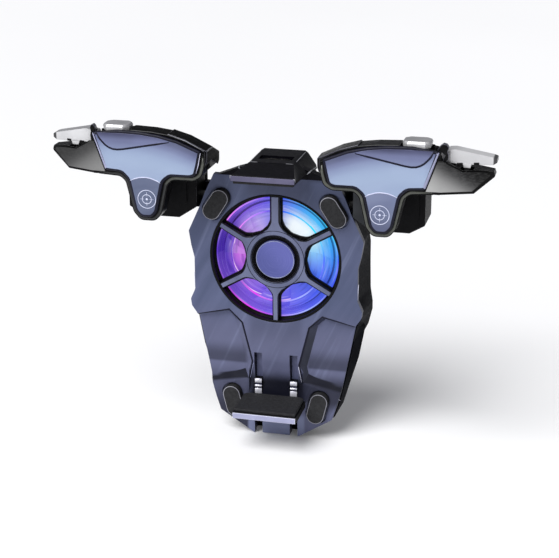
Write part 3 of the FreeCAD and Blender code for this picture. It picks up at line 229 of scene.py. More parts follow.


# slate body plate: metallic paint with slanting light streaks, darker towards the upper jaw, with painted shade on its
# right-hand side, in the panels, on up-facing ledges, on right-facing walls and low down by the lower jaw, and painted
# light on the foot
k = Look("slate", metallic=0.3, specular=0.3)
x, y, z = k.xyz()
streak = k.noise(1.0, 3, k.mapped(scale=(190, 60, 16), rot=(0, math.radians(-31), 0)), 0.5)
streak2 = k.noise(1.0, 2, k.mapped(scale=(480, 60, 22), rot=(0, math.radians(-24), 0), loc=(3, 1, 2)), 0.5)
tone = k.mix(k.step(streak, 0.36, 0.68), col(77, 85, 114), col(91, 98, 129))
# painted shade: darker towards the right-hand side
tone = k.mix(k.step(x, 11.0, 18.0, 0.0, 0.14), tone, col(34, 40, 60))
tone = k.mix(k.step(z, -4.0, -18.0, 0.0, 0.6), tone, col(99, 100, 127))
tone = k.mix(k.step(streak2, 0.58, 0.76, 0, 0.3), tone, col(134, 142, 174))
tone = k.mix(k.step(z, 36.0, 8.0, 0.6, 0.0), tone, col(56, 62, 84))
ax = k.math("ABSOLUTE", x)
tone = k.mix(k.math("MULTIPLY", k.step(ax, 9.5, 7.0), k.step(z, -22.0, -13.0, 0.0, 0.4)), tone, col(62, 66, 90))
# painted shade low down, between and beside the slots above the lower jaw, fading out on the foot
low = k.step(z, -27.6, -32.6)
back = k.step(z, -36.8, -41.5, 1.0, 0.1)
centre = k.math("MULTIPLY", back, k.step(x, 7.5, 10.0, 0.97, 0.8))
left = k.step(z, -34.0, -42.0, 0.42, 0.78)
onleft = k.step(x, -7.0, -9.5)
shade = k.math("ADD", k.math("MULTIPLY", centre, k.math("SUBTRACT", 1.0, onleft)), k.math("MULTIPLY", left, onleft))
tone = k.mix(k.math("MULTIPLY", low, shade), tone, col(17, 18, 30))
# painted shade towards the low ends of the side panels
tone = k.mix(k.math("MULTIPLY", k.step(z, -19.5, -25.0, 0.0, 0.62), k.math("MULTIPLY", k.step(ax, 8.6, 10.6), k.step(z, -27.4, -26.4))), tone, col(28, 30, 44))
# painted light on the foot, lifting the shadow that the lower jaw casts there
tone = k.mix(k.math("MULTIPLY", k.step(z, -41.5, -44.0, 0.0, 0.85), k.step(ax, 9.6, 8.6)), tone, col(124, 131, 163))
# painted shade on up-facing ledges low down, which are also given more roughness
sn = k.nt.nodes.new("ShaderNodeSeparateXYZ")
k.link(k.tc.outputs["Normal"], sn.inputs[0])
shelf = k.math("MULTIPLY", k.step(sn.outputs[2], 0.15, 0.4), k.step(z, -24.0, -27.0))
tone = k.mix(k.math("MULTIPLY", shelf, 0.95), tone, col(17, 18, 30))
# painted shade on faces that look right, deeper lower down
tone = k.mix(k.step(sn.outputs[0], 0.2, 0.5, 0.0, 0.85), tone, k.mix(k.step(z, -11.0, -18.0), col(40, 42, 60), col(22, 25, 34)))
k.base(tone)
gloss = k.step(k.noise(260, 3), 0.3, 0.7, 0.34, 0.46)
k.link(k.math("ADD", gloss, k.math("MULTIPLY", shelf, 0.4)), k.b.inputs["Roughness"])
k.bump(k.noise(2600, 2), 0.04, 0.00004)
LOOKS["slate"] = k.mat

plastic("slate_edge", col(132, 138, 172), col(150, 156, 190), 300, (0.28, 0.4), 1400, 0.04, metallic=0.2)
plastic("rail_slate", col(78, 82, 112), col(90, 94, 126), 240, (0.32, 0.42), 1600, 0.05, metallic=0.3)
plastic("guard_edge", col(20, 21, 40), col(32, 34, 58), 200, (0.35, 0.45), 1200, 0.04, specular=0.3)
plastic("navy_line", col(10, 10, 26), col(16, 17, 38), 200, (0.4, 0.5), 1200, 0.04, specular=0.2)
# this black, and the rim and cover blacks below, are lighter on faces that look back: painted light where the lamps
# don't reach
plastic("black_gloss", col(8, 8, 12), col(12, 11, 17), 500, (0.3, 0.4), 1500, 0.03, specular=0.05, back=col(42, 43, 47))
# these edge and bead finishes are lighter than the blacks they edge: painted highlights
plastic("gloss_edge", col(52, 52, 62), col(70, 70, 82), 300, (0.25, 0.35), 1500, 0.04)
plastic("shell_edge", col(34, 35, 37), col(48, 48, 50), 300, (0.3, 0.42), 1500, 0.05, specular=0.3)
plastic("rear_edge", col(58, 59, 63), col(74, 75, 79), 300, (0.3, 0.42), 1500, 0.05, specular=0.3)
plastic("glint", col(128, 129, 136), col(164, 165, 172), 160, (0.3, 0.4), 1500, 0.03)
plastic("rim_black", col(9, 9, 10), col(13, 13, 14), 500, (0.3, 0.4), 1500, 0.04, specular=0.1, back=col(42, 43, 47))
# olive rim finish: a painted reflection along the trigger rim's edge, dimmed on the left unit except along its inner
# run
k = Look("bead")
x, y, z = k.xyz()
c = k.mix(k.step(k.noise(300, 4), 0.3, 0.7), col(60, 62, 57), col(80, 82, 75))
dim = k.math("MULTIPLY", k.step(x, -10.0, -12.0), k.math("MAXIMUM", k.step(x, -28.0, -30.0), k.step(z, 35.0, 34.0)))
k.base(k.mix(dim, c, col(20, 21, 23)))
k.rough(0.3, 0.4, 630)
k.bump(k.noise(1400, 2), 0.04, 0.00008)
LOOKS["bead"] = k.mat
# a darker copy of the rim black for the left unit's cover and cap: painted shade
plastic("cover_dark", col(6, 6, 7), col(10, 10, 11), 500, (0.42, 0.56), 1500, 0.04, specular=0.03, back=col(42, 43, 47))
# olive bevel of the trigger rim, a painted reflection
plastic("rim_edge", col(60, 62, 57), col(80, 82, 75), 300, (0.3, 0.4), 1400, 0.04)
plastic("rubber", col(34, 34, 36), col(44, 44, 46), 900, (0.6, 0.8), 2400, 0.25, specular=0.2)
# painted highlight round the rubber rests
plastic("rubber_rim", col(112, 112, 122), col(156, 156, 166), 90, (0.3, 0.4), 1500, 0.04)
plastic("lip_lilac", col(138, 140, 170), col(164, 166, 196), 120, (0.3, 0.4), 1500, 0.04)
plastic("lip_dim", col(74, 71, 98), col(90, 87, 116), 120, (0.3, 0.42), 1500, 0.04)
plastic("mark_pale", col(196, 200, 228), col(214, 218, 240), 300, (0.35, 0.45), 1500, 0.02)
plastic("board_green", col(14, 60, 40), col(22, 84, 54), 500, (0.35, 0.5), 1400, 0.1)
plastic("board_violet", col(20, 14, 60), col(34, 24, 90), 500, (0.35, 0.5), 1400, 0.1)
plastic("switch_black", col(20, 20, 22), col(30, 30, 32), 400, (0.4, 0.5), 1400, 0.1, specular=0.3)
plastic("steel", col(150, 152, 158), col(190, 192, 198), 500, (0.22, 0.34), 2600, 0.05, metallic=0.9)
plastic("dark_steel", col(46, 47, 50), col(66, 67, 71), 500, (0.3, 0.4), 2600, 0.06, metallic=0.9)
plastic("nickel", col(60, 60, 60), col(84, 83, 81), 600, (0.3, 0.4), 2600, 0.04, metallic=0.9)
plastic("bronze", col(150, 104, 58), col(184, 134, 80), 600, (0.28, 0.4), 2600, 0.06, metallic=1.0)
plastic("copper", col(180, 96, 52), col(214, 128, 76), 700, (0.22, 0.36), 3000, 0.25, metallic=1.0)
plastic("magnet", col(54, 54, 58), col(74, 74, 78), 700, (0.4, 0.55), 2600, 0.1, metallic=0.6)
plastic("contact_foot", col(30, 30, 32), col(44, 44, 46), 900, (0.5, 0.7), 2600, 0.3)
plastic("highlight", col(196, 197, 222), col(222, 223, 240), 120, (0.3, 0.4), 1500, 0.02)

# black shells: painted lighter on the faces that look back, painted light where the lamps don't reach
k = Look("black_shell", specular=0.08)
sn = k.nt.nodes.new("ShaderNodeSeparateXYZ")
k.link(k.tc.outputs["Normal"], sn.inputs[0])
tone = k.mix(k.step(k.noise(700, 4), 0.3, 0.7), col(12, 12, 14), col(17, 17, 19))
tone = k.mix(k.step(sn.outputs[1], 0.3, 0.8), tone, k.mix(k.step(k.noise(420, 3), 0.3, 0.7), col(42, 43, 47), col(52, 53, 57)))
k.base(tone)
k.rough(0.44, 0.56, 1470)
k.bump(k.noise(1900, 2), 0.12, 0.00008)
LOOKS["black_shell"] = k.mat

# back shell: painted lighter on the faces that look back, as above, and lighter still in the middle, with a fine groove
# round the inlets, one round the middle and a seam down each side
k = Look("rear_shell", specular=0.02)
x, y, z = k.xyz()
sn = k.nt.nodes.new("ShaderNodeSeparateXYZ")
k.link(k.tc.outputs["Normal"], sn.inputs[0])
behind = k.step(sn.outputs[1], 0.3, 0.8)
dz = k.math("SUBTRACT", z, ZF)
r = k.math("SQRT", k.math("ADD", k.math("MULTIPLY", x, x), k.math("MULTIPLY", dz, dz)))
ax = k.math("ABSOLUTE", x)
lines = k.step(k.math("ABSOLUTE", k.math("SUBTRACT", r, 18.9)), 0.26, 0.12)
lines = k.math("MAXIMUM", lines, k.step(k.math("ABSOLUTE", k.math("SUBTRACT", r, 5.2)), 0.22, 0.1))
slant = k.math("SUBTRACT", ax, k.math("ADD", 11.6, k.math("MULTIPLY", k.math("ADD", z, 45.0), 0.2)))
lines = k.math("MAXIMUM", lines, k.math("MULTIPLY", k.step(k.math("ABSOLUTE", slant), 0.24, 0.1), k.step(z, -18.6, -19.2)))
lines = k.math("MULTIPLY", lines, behind)
tone = k.mix(k.step(k.noise(700, 4), 0.3, 0.7), col(8, 9, 14), col(12, 13, 19))
back = k.mix(k.step(k.noise(420, 3), 0.3, 0.7), col(46, 47, 51), col(57, 58, 62))
back = k.mix(k.step(r, 4.9, 4.6), back, col(68, 69, 75))
tone = k.mix(behind, tone, back)
k.base(k.mix(lines, tone, col(7, 7, 9)))
k.rough(0.4, 0.54, 1470)
k.bump(k.math("SUBTRACT", k.math("MULTIPLY", k.noise(1900, 2), 0.25), lines), 0.4, 0.0001)
LOOKS["rear_shell"] = k.mat

# clamp blocks: dark, painted lighter on the faces that look back; greyer on their inner front, and lighter there higher
# up, painted light where the trigger unit's shadow falls
k = Look("clamp_shell", specular=0.08)
x, y, z = k.xyz()
sn = k.nt.nodes.new("ShaderNodeSeparateXYZ")
k.link(k.tc.outputs["Normal"], sn.inputs[0])
inner = k.math("MULTIPLY", k.step(x, 32.5, 29.5), k.step(x, 10.0, 12.0))
tone = k.mix(k.step(k.noise(700, 4), 0.3, 0.7), col(12, 12, 14), col(17, 17, 19))
tone = k.mix(k.step(sn.outputs[1], 0.3, 0.8), tone, k.mix(k.step(k.noise(420, 3), 0.3, 0.7), col(42, 43, 47), col(52, 53, 57)))
soft = k.mix(k.step(z, 23.5, 27.0), col(50, 52, 55), col(66, 68, 72))
front = k.step(k.math("MULTIPLY", sn.outputs[1], -1.0), 0.5, 0.8)
k.base(k.mix(k.math("MULTIPLY", inner, front), tone, soft))
k.rough(0.46, 0.58, 1470)
k.bump(k.noise(1900, 2), 0.12, 0.00008)
LOOKS["clamp_shell"] = k.mat

# slotted rails of the jaw: bright on the ridges, slate between them
k = Look("rail", metallic=0.3)
x, y, z = k.xyz()
ridge = k.step(y, 1.98, 1.9)
k.base(k.mix(ridge, k.mix(k.noise(500, 2), col(40, 41, 60), col(60, 62, 86)), k.mix(k.noise(260, 3), col(196, 196, 210), col(240, 240, 248))))
k.rough(0.25, 0.38, 500)
k.bump(k.noise(2200, 2), 0.05, 0.00004)
LOOKS["rail"] = k.mat

# guard: slate on its front; painted shade makes the walls of its spokes and rings black, and a painted shadow darkens
# the sides of the spokes, less near the hub and on the top spoke
k = Look("slate_guard", metallic=0.3, specular=0.35)
sn = k.nt.nodes.new("ShaderNodeSeparateXYZ")
k.link(k.tc.outputs["Normal"], sn.inputs[0])
face = k.step(k.math("MULTIPLY", sn.outputs[1], -1.0), 0.55, 0.8)
tone = k.mix(k.step(k.noise(1.0, 3, k.mapped(scale=(160, 60, 22), rot=(0, math.radians(28), 0))), 0.35, 0.68), col(90, 96, 124), col(108, 114, 144))
x, y, z = k.xyz()
dz = k.math("SUBTRACT", z, ZF)
r = k.math("SQRT", k.math("ADD", k.math("MULTIPLY", x, x), k.math("MULTIPLY", dz, dz)))
sixth = k.math("FRACT", k.math("ADD", k.math("DIVIDE", k.math("ARCTAN2", dz, x), math.pi / 3), 3.0))
off = k.math("ABSOLUTE", k.math("MULTIPLY", r, k.math("SINE", k.math("MULTIPLY", k.math("SUBTRACT", sixth, 0.5), math.pi / 3))))
flare = k.math("MAXIMUM", k.math("SUBTRACT", 12.3, r), 0.0)
half = k.math("ADD", k.math("MULTIPLY", k.math("MULTIPLY", flare, flare), 0.2),
              k.math("ADD", 0.56, k.math("MULTIPLY", k.math("MULTIPLY", k.step(dz, 5.0, 6.0), k.step(k.math("ABSOLUTE", x), 3.2, 2.8)), 0.4)))
# painted shadow along the sides of the spokes
painted_shadow_margin = k.math("MULTIPLY", k.step(k.math("SUBTRACT", off, half), 0.0, 0.14), k.step(r, 9.35, 9.75))
tone = k.mix(painted_shadow_margin, tone, col(8, 8, 15))
k.base(k.mix(face, col(9, 9, 16), tone))
k.rough(0.32, 0.44, 300)
k.bump(k.noise(2600, 2), 0.04, 0.00004)
LOOKS["slate_guard"] = k.mat

# silver: brushed across; painted light makes faces that look forward lighter than those that look up, the lever's top
# is lighter than the button's, and painted shade darkens the end facet
k = Look("silver", metallic=0.2, specular=0.5)
sn = k.nt.nodes.new("ShaderNodeSeparateXYZ")
k.link(k.tc.outputs["Normal"], sn.inputs[0])
front = k.step(k.math("MULTIPLY", sn.outputs[1], -1.0), 0.3, 0.75)
out = k.step(k.math("ABSOLUTE", sn.outputs[0]), 0.62, 0.8)
x, y, z = k.xyz()
far = k.math("MAXIMUM", k.math("MULTIPLY", out, k.step(k.math("ABSOLUTE", x), 60.0, 62.0)), k.step(k.math("ABSOLUTE", x), 64.9, 65.3))
brush = k.noise(1.0, 3, k.mapped(scale=(200, 2600, 2600)))
top = k.mix(k.step(brush, 0.35, 0.65), col(142, 142, 145), col(168, 168, 171))
top = k.mix(k.math("MULTIPLY", k.step(x, 50.0, 58.0), 0.85), top, col(216, 216, 218))
face = k.mix(k.step(k.noise(120, 3), 0.3, 0.7), col(198, 198, 200), col(214, 214, 216))
k.base(k.mix(far, k.mix(front, top, face), col(58, 58, 60)))
k.link(k.step(brush, 0.3, 0.7, 0.28, 0.4), k.b.inputs["Roughness"])
k.bump(brush, 0.04, 0.00004)
LOOKS["silver"] = k.mat
k = Look("silver_edge", metallic=0.2)
x, y, z = k.xyz()
c = k.mix(k.step(k.noise(160, 4), 0.3, 0.7), col(184, 184, 186), col(212, 212, 214))
# painted shade on the end facet
k.base(k.mix(k.step(k.math("ABSOLUTE", x), 64.6, 65.2), c, col(70, 70, 72)))
k.rough(0.24, 0.34, 340)
k.bump(k.noise(1500, 2), 0.03, 0.00008)
LOOKS["silver_edge"] = k.mat

# satin grey wedge plate: painted light at the low inner end fading to painted shade towards the outer top, and painted
# shade over the left unit's plate
k = Look("satin_grey", metallic=0.3, specular=0.15)
x, y, z = k.xyz()
ax = k.math("ABSOLUTE", x)
d = k.math("ADD", k.math("MULTIPLY", ax, 0.62), k.math("MULTIPLY", z, 0.95))
c = k.ramp(k.step(d, 64.5, 81.5), [(0.0, col(178, 178, 177)), (0.33, col(130, 130, 130)), (0.58, col(56, 56, 57)), (0.84, col(6, 6, 7)), (1.0, col(3, 3, 4))], "B_SPLINE")
c = k.mix(k.step(k.noise(1.0, 2, k.mapped(scale=(300, 2500, 2500))), 0.35, 0.65, 0.0, 0.1), c, col(132, 132, 132))
c = k.mix(k.step(x, -10.0, -12.0, 0.0, 0.5), c, col(66, 66, 66))
k.base(c)
k.rough(0.34, 0.46, 600)
k.bump(k.noise(3000, 2), 0.06, 0.00005)
LOOKS["satin_grey"] = k.mat


# pearl paint of the T plates: painted shade makes it navy under the arch and darker at both ends, painted light makes
# it light in the middle, and painted shade dulls it below the thin arc, deeper on the left unit
k = Look("plate", metallic=0.1, coat=0.15, coat_roughness=0.25, specular=0.35)
x, y, z = k.xyz()
ax = k.math("ABSOLUTE", x)
top = k.math("SUBTRACT", 49.9, k.math("MULTIPLY", k.math("POWER", k.math("ABSOLUTE", k.math("SUBTRACT", ax, 43.0)), 2.0), 0.0088))
below = k.math("SUBTRACT", top, z)
c = k.ramp(k.step(below, 0.0, 14.0), [
    (0.0, col(58, 62, 94)), (0.06, col(96, 102, 138)), (0.18, col(121, 132, 166)),
    (0.42, col(142, 158, 187)), (0.75, col(148, 164, 191)), (1.0, col(139, 154, 184))], "B_SPLINE")
c = k.mix(k.step(ax, 46.0, 51.0, 0.0, 0.5), c, col(96, 104, 140))
c = k.mix(k.step(ax, 25.0, 17.5, 0.0, 0.1), c, col(96, 104, 140))
line = k.math("SUBTRACT", 36.3, k.math("MULTIPLY", k.math("POWER", k.math("ABSOLUTE", k.math("SUBTRACT", ax, 34.9)), 2.0), 0.062))
under = k.step(k.math("SUBTRACT", z, line), 0.06, -0.06)
c = k.mix(under, c, k.ramp(k.step(z, 24.0, 36.2), [(0.0, col(78, 84, 113)), (0.5, col(85, 93, 123)), (1.0, col(102, 110, 141))]))
c = k.mix(k.math("MULTIPLY", k.math("MULTIPLY", under, k.step(x, -10.0, -12.0)), 0.75), c, col(66, 75, 103))
cloud = k.noise(1.0, 2, k.mapped(scale=(60, 60, 160), rot=(0, math.radians(12), 0)))
c = k.mix(k.step(cloud, 0.35, 0.7, 0.0, 0.1), c, col(178, 190, 214))
k.base(c)
k.rough(0.3, 0.38, 400)
k.bump(k.noise(3200, 1), 0.015, 0.00003)
LOOKS["plate"] = k.mat

# the crease's upper facet is a shade more violet, with painted shade darkening it towards its top edge
k = Look("plate_facet", metallic=0.1, coat=0.15, coat_roughness=0.25, specular=0.35)
x, y, z = k.xyz()
c = k.ramp(k.step(z, 44.0, 50.0), [(0.0, col(112, 121, 154)), (0.45, col(98, 104, 138)), (1.0, col(50, 52, 82))])
k.base(k.mix(k.step(k.noise(120, 2), 0.35, 0.7, 0.0, 0.1), c, col(140, 146, 194)))
k.rough(0.3, 0.38, 400)
k.bump(k.noise(3200, 1), 0.015, 0.00003)
LOOKS["plate_facet"] = k.mat


def wheel(k, world):
    """Turn (0 to 1, from -180 degrees) and radius in mm about the fan axis."""
    x, y, z = k.xyz(world)
    dz = k.math("SUBTRACT", z, ZF)
    turn = k.math("ADD", k.math("DIVIDE", k.math("ARCTAN2", dz, x), 2 * math.pi), 0.5)
    r = k.math("SQRT", k.math("ADD", k.math("MULTIPLY", x, x), k.math("MULTIPLY", dz, dz)))
    return turn, r


def at(deg):
    return ((deg + 180.0) % 360.0) / 360.0


# the lamps' hues, named once and placed round the wheel, in degrees
MAGENTA, VIOLET, DEEP, BLUE, CYAN, ICE = (200, 100, 215), (140, 95, 220), (70, 40, 165), (70, 95, 230), (40, 215, 252), (225, 250, 255)
INNER = [(-180, MAGENTA), (-140, VIOLET), (-60, BLUE), (-10, BLUE), (20, CYAN), (55, ICE), (88, BLUE), (120, VIOLET), (179.9, MAGENTA)]
OUTER = [(-180, DEEP), (-120, VIOLET), (-60, BLUE), (-10, BLUE), (40, CYAN), (80, BLUE), (125, VIOLET), (160, DEEP), (179.9, DEEP)]


def glow(name, world, strength, base, share, lips=()):
    """Lit milky plastic, its light painted in as emission: the lamps' colours run round the wheel, softer inside than
    outside, with fine arcs of light.
    """
    k = Look(name, specular=0.3)
    turn, r = wheel(k, world)
    inner = k.ramp(turn, [(at(d) if d != 179.9 else 1.0, col(*c)) for d, c in INNER], "B_SPLINE")
    outer = k.ramp(turn, [(at(d) if d != 179.9 else 1.0, col(*c)) for d, c in OUTER], "B_SPLINE")
    c = k.mix(k.step(r, 11.8, 16.2), inner, outer)
    # painted arcs of light and shade: noise that changes quickly with radius and slowly with turn
    comb = k.nt.nodes.new("ShaderNodeCombineXYZ")
    k.link(k.math("MULTIPLY", r, 0.95), comb.inputs[0])
    k.link(k.math("MULTIPLY", turn, 6.0), comb.inputs[1])
    arcs = k.noise(1.0, 3, comb.outputs[0], 0.6)
    c = k.mix(k.step(arcs, 0.48, 0.34, 0.0, 0.34), c, col(30, 22, 120))
    c = k.mix(k.step(arcs, 0.56, 0.72, 0.0, 0.28), c, col(236, 226, 255))
    # painted light: brighter by the hub on the right-hand side
    white = k.math("MULTIPLY", k.step(r, 17.6, 11.8), k.ramp(turn, [
        (at(-20), (0, 0, 0)), (at(15), (.3, .3, .3)), (at(45), (1, 1, 1)), (at(66), (1, 1, 1)), (at(86), (.2, .2, .2)),
        (at(100), (.1, .1, .1)), (at(120), (.3, .3, .3)), (at(150), (.1, .1, .1))], "LINEAR"))
    c = k.mix(k.math("MULTIPLY", white, 0.95), c, col(244, 252, 255))
    # fine arc of light where the blades carry their stiffening ring, on the left and below
    ringw = k.math("MULTIPLY", k.step(k.math("ABSOLUTE", k.math("SUBTRACT", r, 14.45)), 0.26, 0.1),
                   k.ramp(turn, [(at(-179.9), (.9, .9, .9)), (at(-95), (.8, .8, .8)), (at(-60), (.55, .55, .55)), (at(-30), (.1, .1, .1)),
                                 (at(10), (.06, .06, .06)), (at(120), (.06, .06, .06)), (at(150), (.7, .7, .7)), (1.0, (.9, .9, .9))], "LINEAR"))
    c = k.mix(ringw, c, col(255, 214, 255))
    k.base(k.mix(share, c, base))
    k.emit(c, strength)
    k.rough(0.25, 0.4, 500)
    k.bump(k.noise(1500, 2), 0.05, 0.00005)
    LOOKS[name] = k.mat


glow("glow_ring", False, 0.76, col(26, 20, 60), 0.85)
glow("glow_blade", True, 0.82, col(34, 30, 70), 0.8)
glow("glow_deep", False, 0.25, col(14, 10, 40), 0.85)

k = Look("lamp", roughness=0.3)
k.base(k.mix(k.noise(700, 2), col(240, 240, 255), col(255, 255, 255)))
k.emit(k.mix(k.noise(300, 2), col(190, 180, 255), col(255, 255, 255)), 1.2)
LOOKS["lamp"] = k.mat

# emissive colours round the wheel: the light ring's lit lip, and painted light on the blades' stiffening ring, with a
# painted sparkle
k = Look("arc_light", roughness=0.3, specular=0.3)
turn, r = wheel(k, False)
c = k.ramp(turn, [(0.0, col(84, 40, 190)), (at(-150), col(126, 46, 200)), (at(-120), col(226, 60, 230)), (at(-95), col(150, 66, 222)),
                  (at(-60), col(150, 172, 250)), (at(-30), col(66, 84, 232)), (at(0), col(56, 92, 245)), (at(30), col(0, 222, 255)),
                  (at(60), col(24, 190, 255)), (at(85), col(36, 70, 236)), (at(100), col(90, 66, 222)), (at(125), col(196, 120, 250)),
                  (at(143), col(238, 120, 246)), (at(158), col(96, 44, 196)), (1.0, col(84, 40, 190))], "LINEAR")
k.base(k.mix(0.85, c, col(20, 16, 50)))
k.emit(k.mix(k.step(k.noise(260, 2), 0.3, 0.7, 0.0, 0.12), c, col(255, 245, 255)), 0.95)
LOOKS["arc_light"] = k.mat

# hub disc: spun finish, blue-violet, painted light at the upper right
k = Look("badge", metallic=0.2, specular=0.35)
turn, r = wheel(k, False)
x, y, z = k.xyz()
ring = k.noise(1.0, 2, None)
comb = k.nt.nodes.new("ShaderNodeCombineXYZ")
k.link(k.math("MULTIPLY", r, 14.0), comb.inputs[0])
k.link(k.math("MULTIPLY", turn, 3.0), comb.inputs[1])
spun = k.noise(1.0, 2, comb.outputs[0])
c = k.mix(k.step(k.math("ADD", x, z), 2.0, 15.0), col(72, 78, 140), col(92, 96, 166))
c = k.mix(k.step(spun, 0.4, 0.65, 0.0, 0.25), c, col(118, 122, 186))
k.base(c)
k.link(k.step(spun, 0.3, 0.7, 0.3, 0.45), k.b.inputs["Roughness"])
k.bump(spun, 0.08, 0.00005)
LOOKS["badge"] = k.mat


# ----------------------------------------------------------- mesh helpers --
def make(name, verts, faces, look, body, smooth=False, mats=None, index=None):
    me = bpy.data.meshes.new(name)
    me.from_pydata([(a * MM, b * MM, c * MM) for a, b, c in verts], [], faces)
    for m in [look] + list(mats or []):
        me.materials.append(LOOKS[m])
    if index:
        me.polygons.foreach_set("material_index", index)
    if smooth:
        me.polygons.foreach_set("use_smooth", [True] * len(me.polygons))
    me.validate()
    me.update()
    o = bpy.data.objects.new(name, me)
    scene.collection.objects.link(o)
    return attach(o, body)


def weighted(o):
    m = o.modifiers.new("normals", "WEIGHTED_NORMAL")
    m.keep_sharp = False
    m.weight = 80
    return o


def rounded(points, seg=6):
    """Outline points (x, z[, corner radius]) as a polyline with arcs at the corners that have a radius."""
    out, n = [], len(points)
    for i, p in enumerate(points):
        r = p[2] if len(p) > 2 else 0
        if not r:
            out.append((p[0], p[1]))
            continue
        P, A, B = Vector(p[:2]), Vector(points[i - 1][:2]), Vector(points[(i + 1) % n][:2])
        u, v = (A - P).normalized(), (B - P).normalized()
        half = math.acos(max(-1, min(1, u.dot(v)))) / 2
        t = min(r / math.tan(half), 0.49 * (A - P).length, 0.49 * (B - P).length)
        r = t * math.tan(half)
        c = P + (u + v).normalized() * (r / math.sin(half))
        a0 = math.atan2((P + u * t - c).y, (P + u * t - c).x)
        a1 = math.atan2((P + v * t - c).y, (P + v * t - c).x)
        d = (a1 - a0 + math.pi) % (2 * math.pi) - math.pi
        for j in range(seg + 1):
            a = a0 + d * j / seg
            out.append((c.x + r * math.cos(a), c.y + r * math.sin(a)))
    return out


def area(loop):
    return sum(a[0] * b[1] - b[0] * a[1] for a, b in zip(loop, loop[1:] + loop[:1])) / 2


def inset(loop, d):
    """The closed loop moved inwards by d, point by point."""
    n, out = len(loop), []
    s = 1 if area(loop) > 0 else -1
    for i in range(n):
        a, p, b = Vector(loop[i - 1]), Vector(loop[i]), Vector(loop[(i + 1) % n])
        u, v = (p - a).normalized(), (b - p).normalized()
        nu, nv = Vector((-u.y, u.x)) * s, Vector((-v.y, v.x)) * s
        m = (nu + nv)
        m = m.normalized() if m.length > 1e-6 else nu
        q = p + m * (d / max(0.35, m.dot(nu)))
        out.append((q.x, q.y))
    return out


def plate(name, outline, rings, back, look, edge, body, side=1, by=None):
    """A plate seen from the front: outline in x, z; rings are (inset, y) from the back edge to the face.
    The face is filled in one piece; the bevel rings take the edge look, or the look that by(normal x, normal z) names."""
    loop = [(side * a, b) for a, b in outline]
    if area(loop) < 0:
        loop = loop[::-1]
    n = len(loop)
    levels = [(0.0, back)] + list(rings)
    verts = []
    for d, yy in levels:
        verts += [(a, yy, b) for a, b in (inset(loop, d) if d else loop)]
    faces, idx = [], []
    looks = [look, edge]
    for l in range(len(levels) - 1):
        for i in range(n):
            j = (i + 1) % n
            faces.append((l * n + i, l * n + j, (l + 1) * n + j, (l + 1) * n + i))
            m = 1
            if by and l >= 1:
                a, b = Vector(loop[i]), Vector(loop[j])
                t = (b - a).normalized()
                nm = by(side * t.y, -t.x, side * (a.x + b.x) / 2, (a.y + b.y) / 2)
                if nm not in looks:
                    looks.append(nm)
                m = looks.index(nm)
            idx.append(m)
    from mathutils.geometry import tessellate_polygon
    top = (len(levels) - 1) * n
    tri = tessellate_polygon([[Vector((a, b, 0)) for a, _, b in verts[top:top + n]]])
    for t in tri:
        faces.append(tuple(top + i for i in t))
        idx.append(0)
    tri = tessellate_polygon([[Vector((a, b, 0)) for a, b in loop]])
    for t in tri:
        faces.append(tuple(reversed(t)))
        idx.append(1)
    o = make(name, verts, faces, looks[0], body, True, looks[1:], idx)
    tidy(o)
    return weighted(o)


def tidy(o):
    import bmesh
    bm = bmesh.new()
    bm.from_mesh(o.data)
    bmesh.ops.remove_doubles(bm, verts=bm.verts, dist=1e-6)
    bmesh.ops.dissolve_degenerate(bm, edges=bm.edges, dist=1e-7)
    bmesh.ops.recalc_face_normals(bm, faces=bm.faces)
    bm.to_mesh(o.data)
    bm.free()


def tube(name, path, radius, look, body, closed=False, flat=1.0, seg=8, ends=True):
    """A bead along a path of x, y, z points, round or flattened front to back."""
    P = [Vector(p) for p in path]
    n = len(P)
    verts, faces = [], []
    for i, p in enumerate(P):
        a = P[i - 1] if (closed or i) else P[i]
        b = P[(i + 1) % n] if (closed or i < n - 1) else P[i]
        t = (b - a).normalized()
        up = Vector((0, 1, 0))
        side = t.cross(up)
        side = side.normalized() if side.length > 1e-6 else Vector((1, 0, 0))
        up = side.cross(t).normalized()
        rr = radius
        if not closed and ends and i in (0, n - 1):
            rr = radius * 0.45
        for j in range(seg):
            w = 2 * math.pi * j / seg
            verts.append(p + side * (rr * math.cos(w)) + up * (rr * flat * math.sin(w)))
    for i in range(n if closed else n - 1):
        k2 = (i + 1) % n
        for j in range(seg):
            m = (j + 1) % seg
            faces.append((i * seg + j, i * seg + m, k2 * seg + m, k2 * seg + j))
    if not closed:
        faces.append(tuple(range(seg - 1, -1, -1)))
        faces.append(tuple((n - 1) * seg + j for j in range(seg)))
    o = make(name, [tuple(v) for v in verts], faces, look, body, True)
    tidy(o)
    return o


def spin(name, profile, look, body, n=96, cx=0.0, cz=ZF, start=0.0, sweep=360.0, mats=None, bands=None):
    """A ring turned about an axis along y: closed profile of (radius, y)."""
    verts, faces, idx = [], [], []
    full = abs(sweep - 360) < 1e-6
    m = len(profile)
    steps = n if full else n + 1
    for i in range(steps):
        a = math.radians(start + sweep * i / n)
        verts += [(cx + r * math.cos(a), yy, cz + r * math.sin(a)) for r, yy in profile]
    for i in range(n):
        k2 = (i + 1) % steps
        for j in range(m):
            l = (j + 1) % m
            faces.append((i * m + j, i * m + l, k2 * m + l, k2 * m + j))
            idx.append(bands[j] if bands else 0)
    if not full:
        faces.append(tuple(range(m)))
        faces.append(tuple(reversed(range((steps - 1) * m, steps * m))))
        idx += [0, 0]
    o = make(name, verts, faces, look, body, True, mats, idx if bands else None)
    tidy(o)
    return weighted(o)


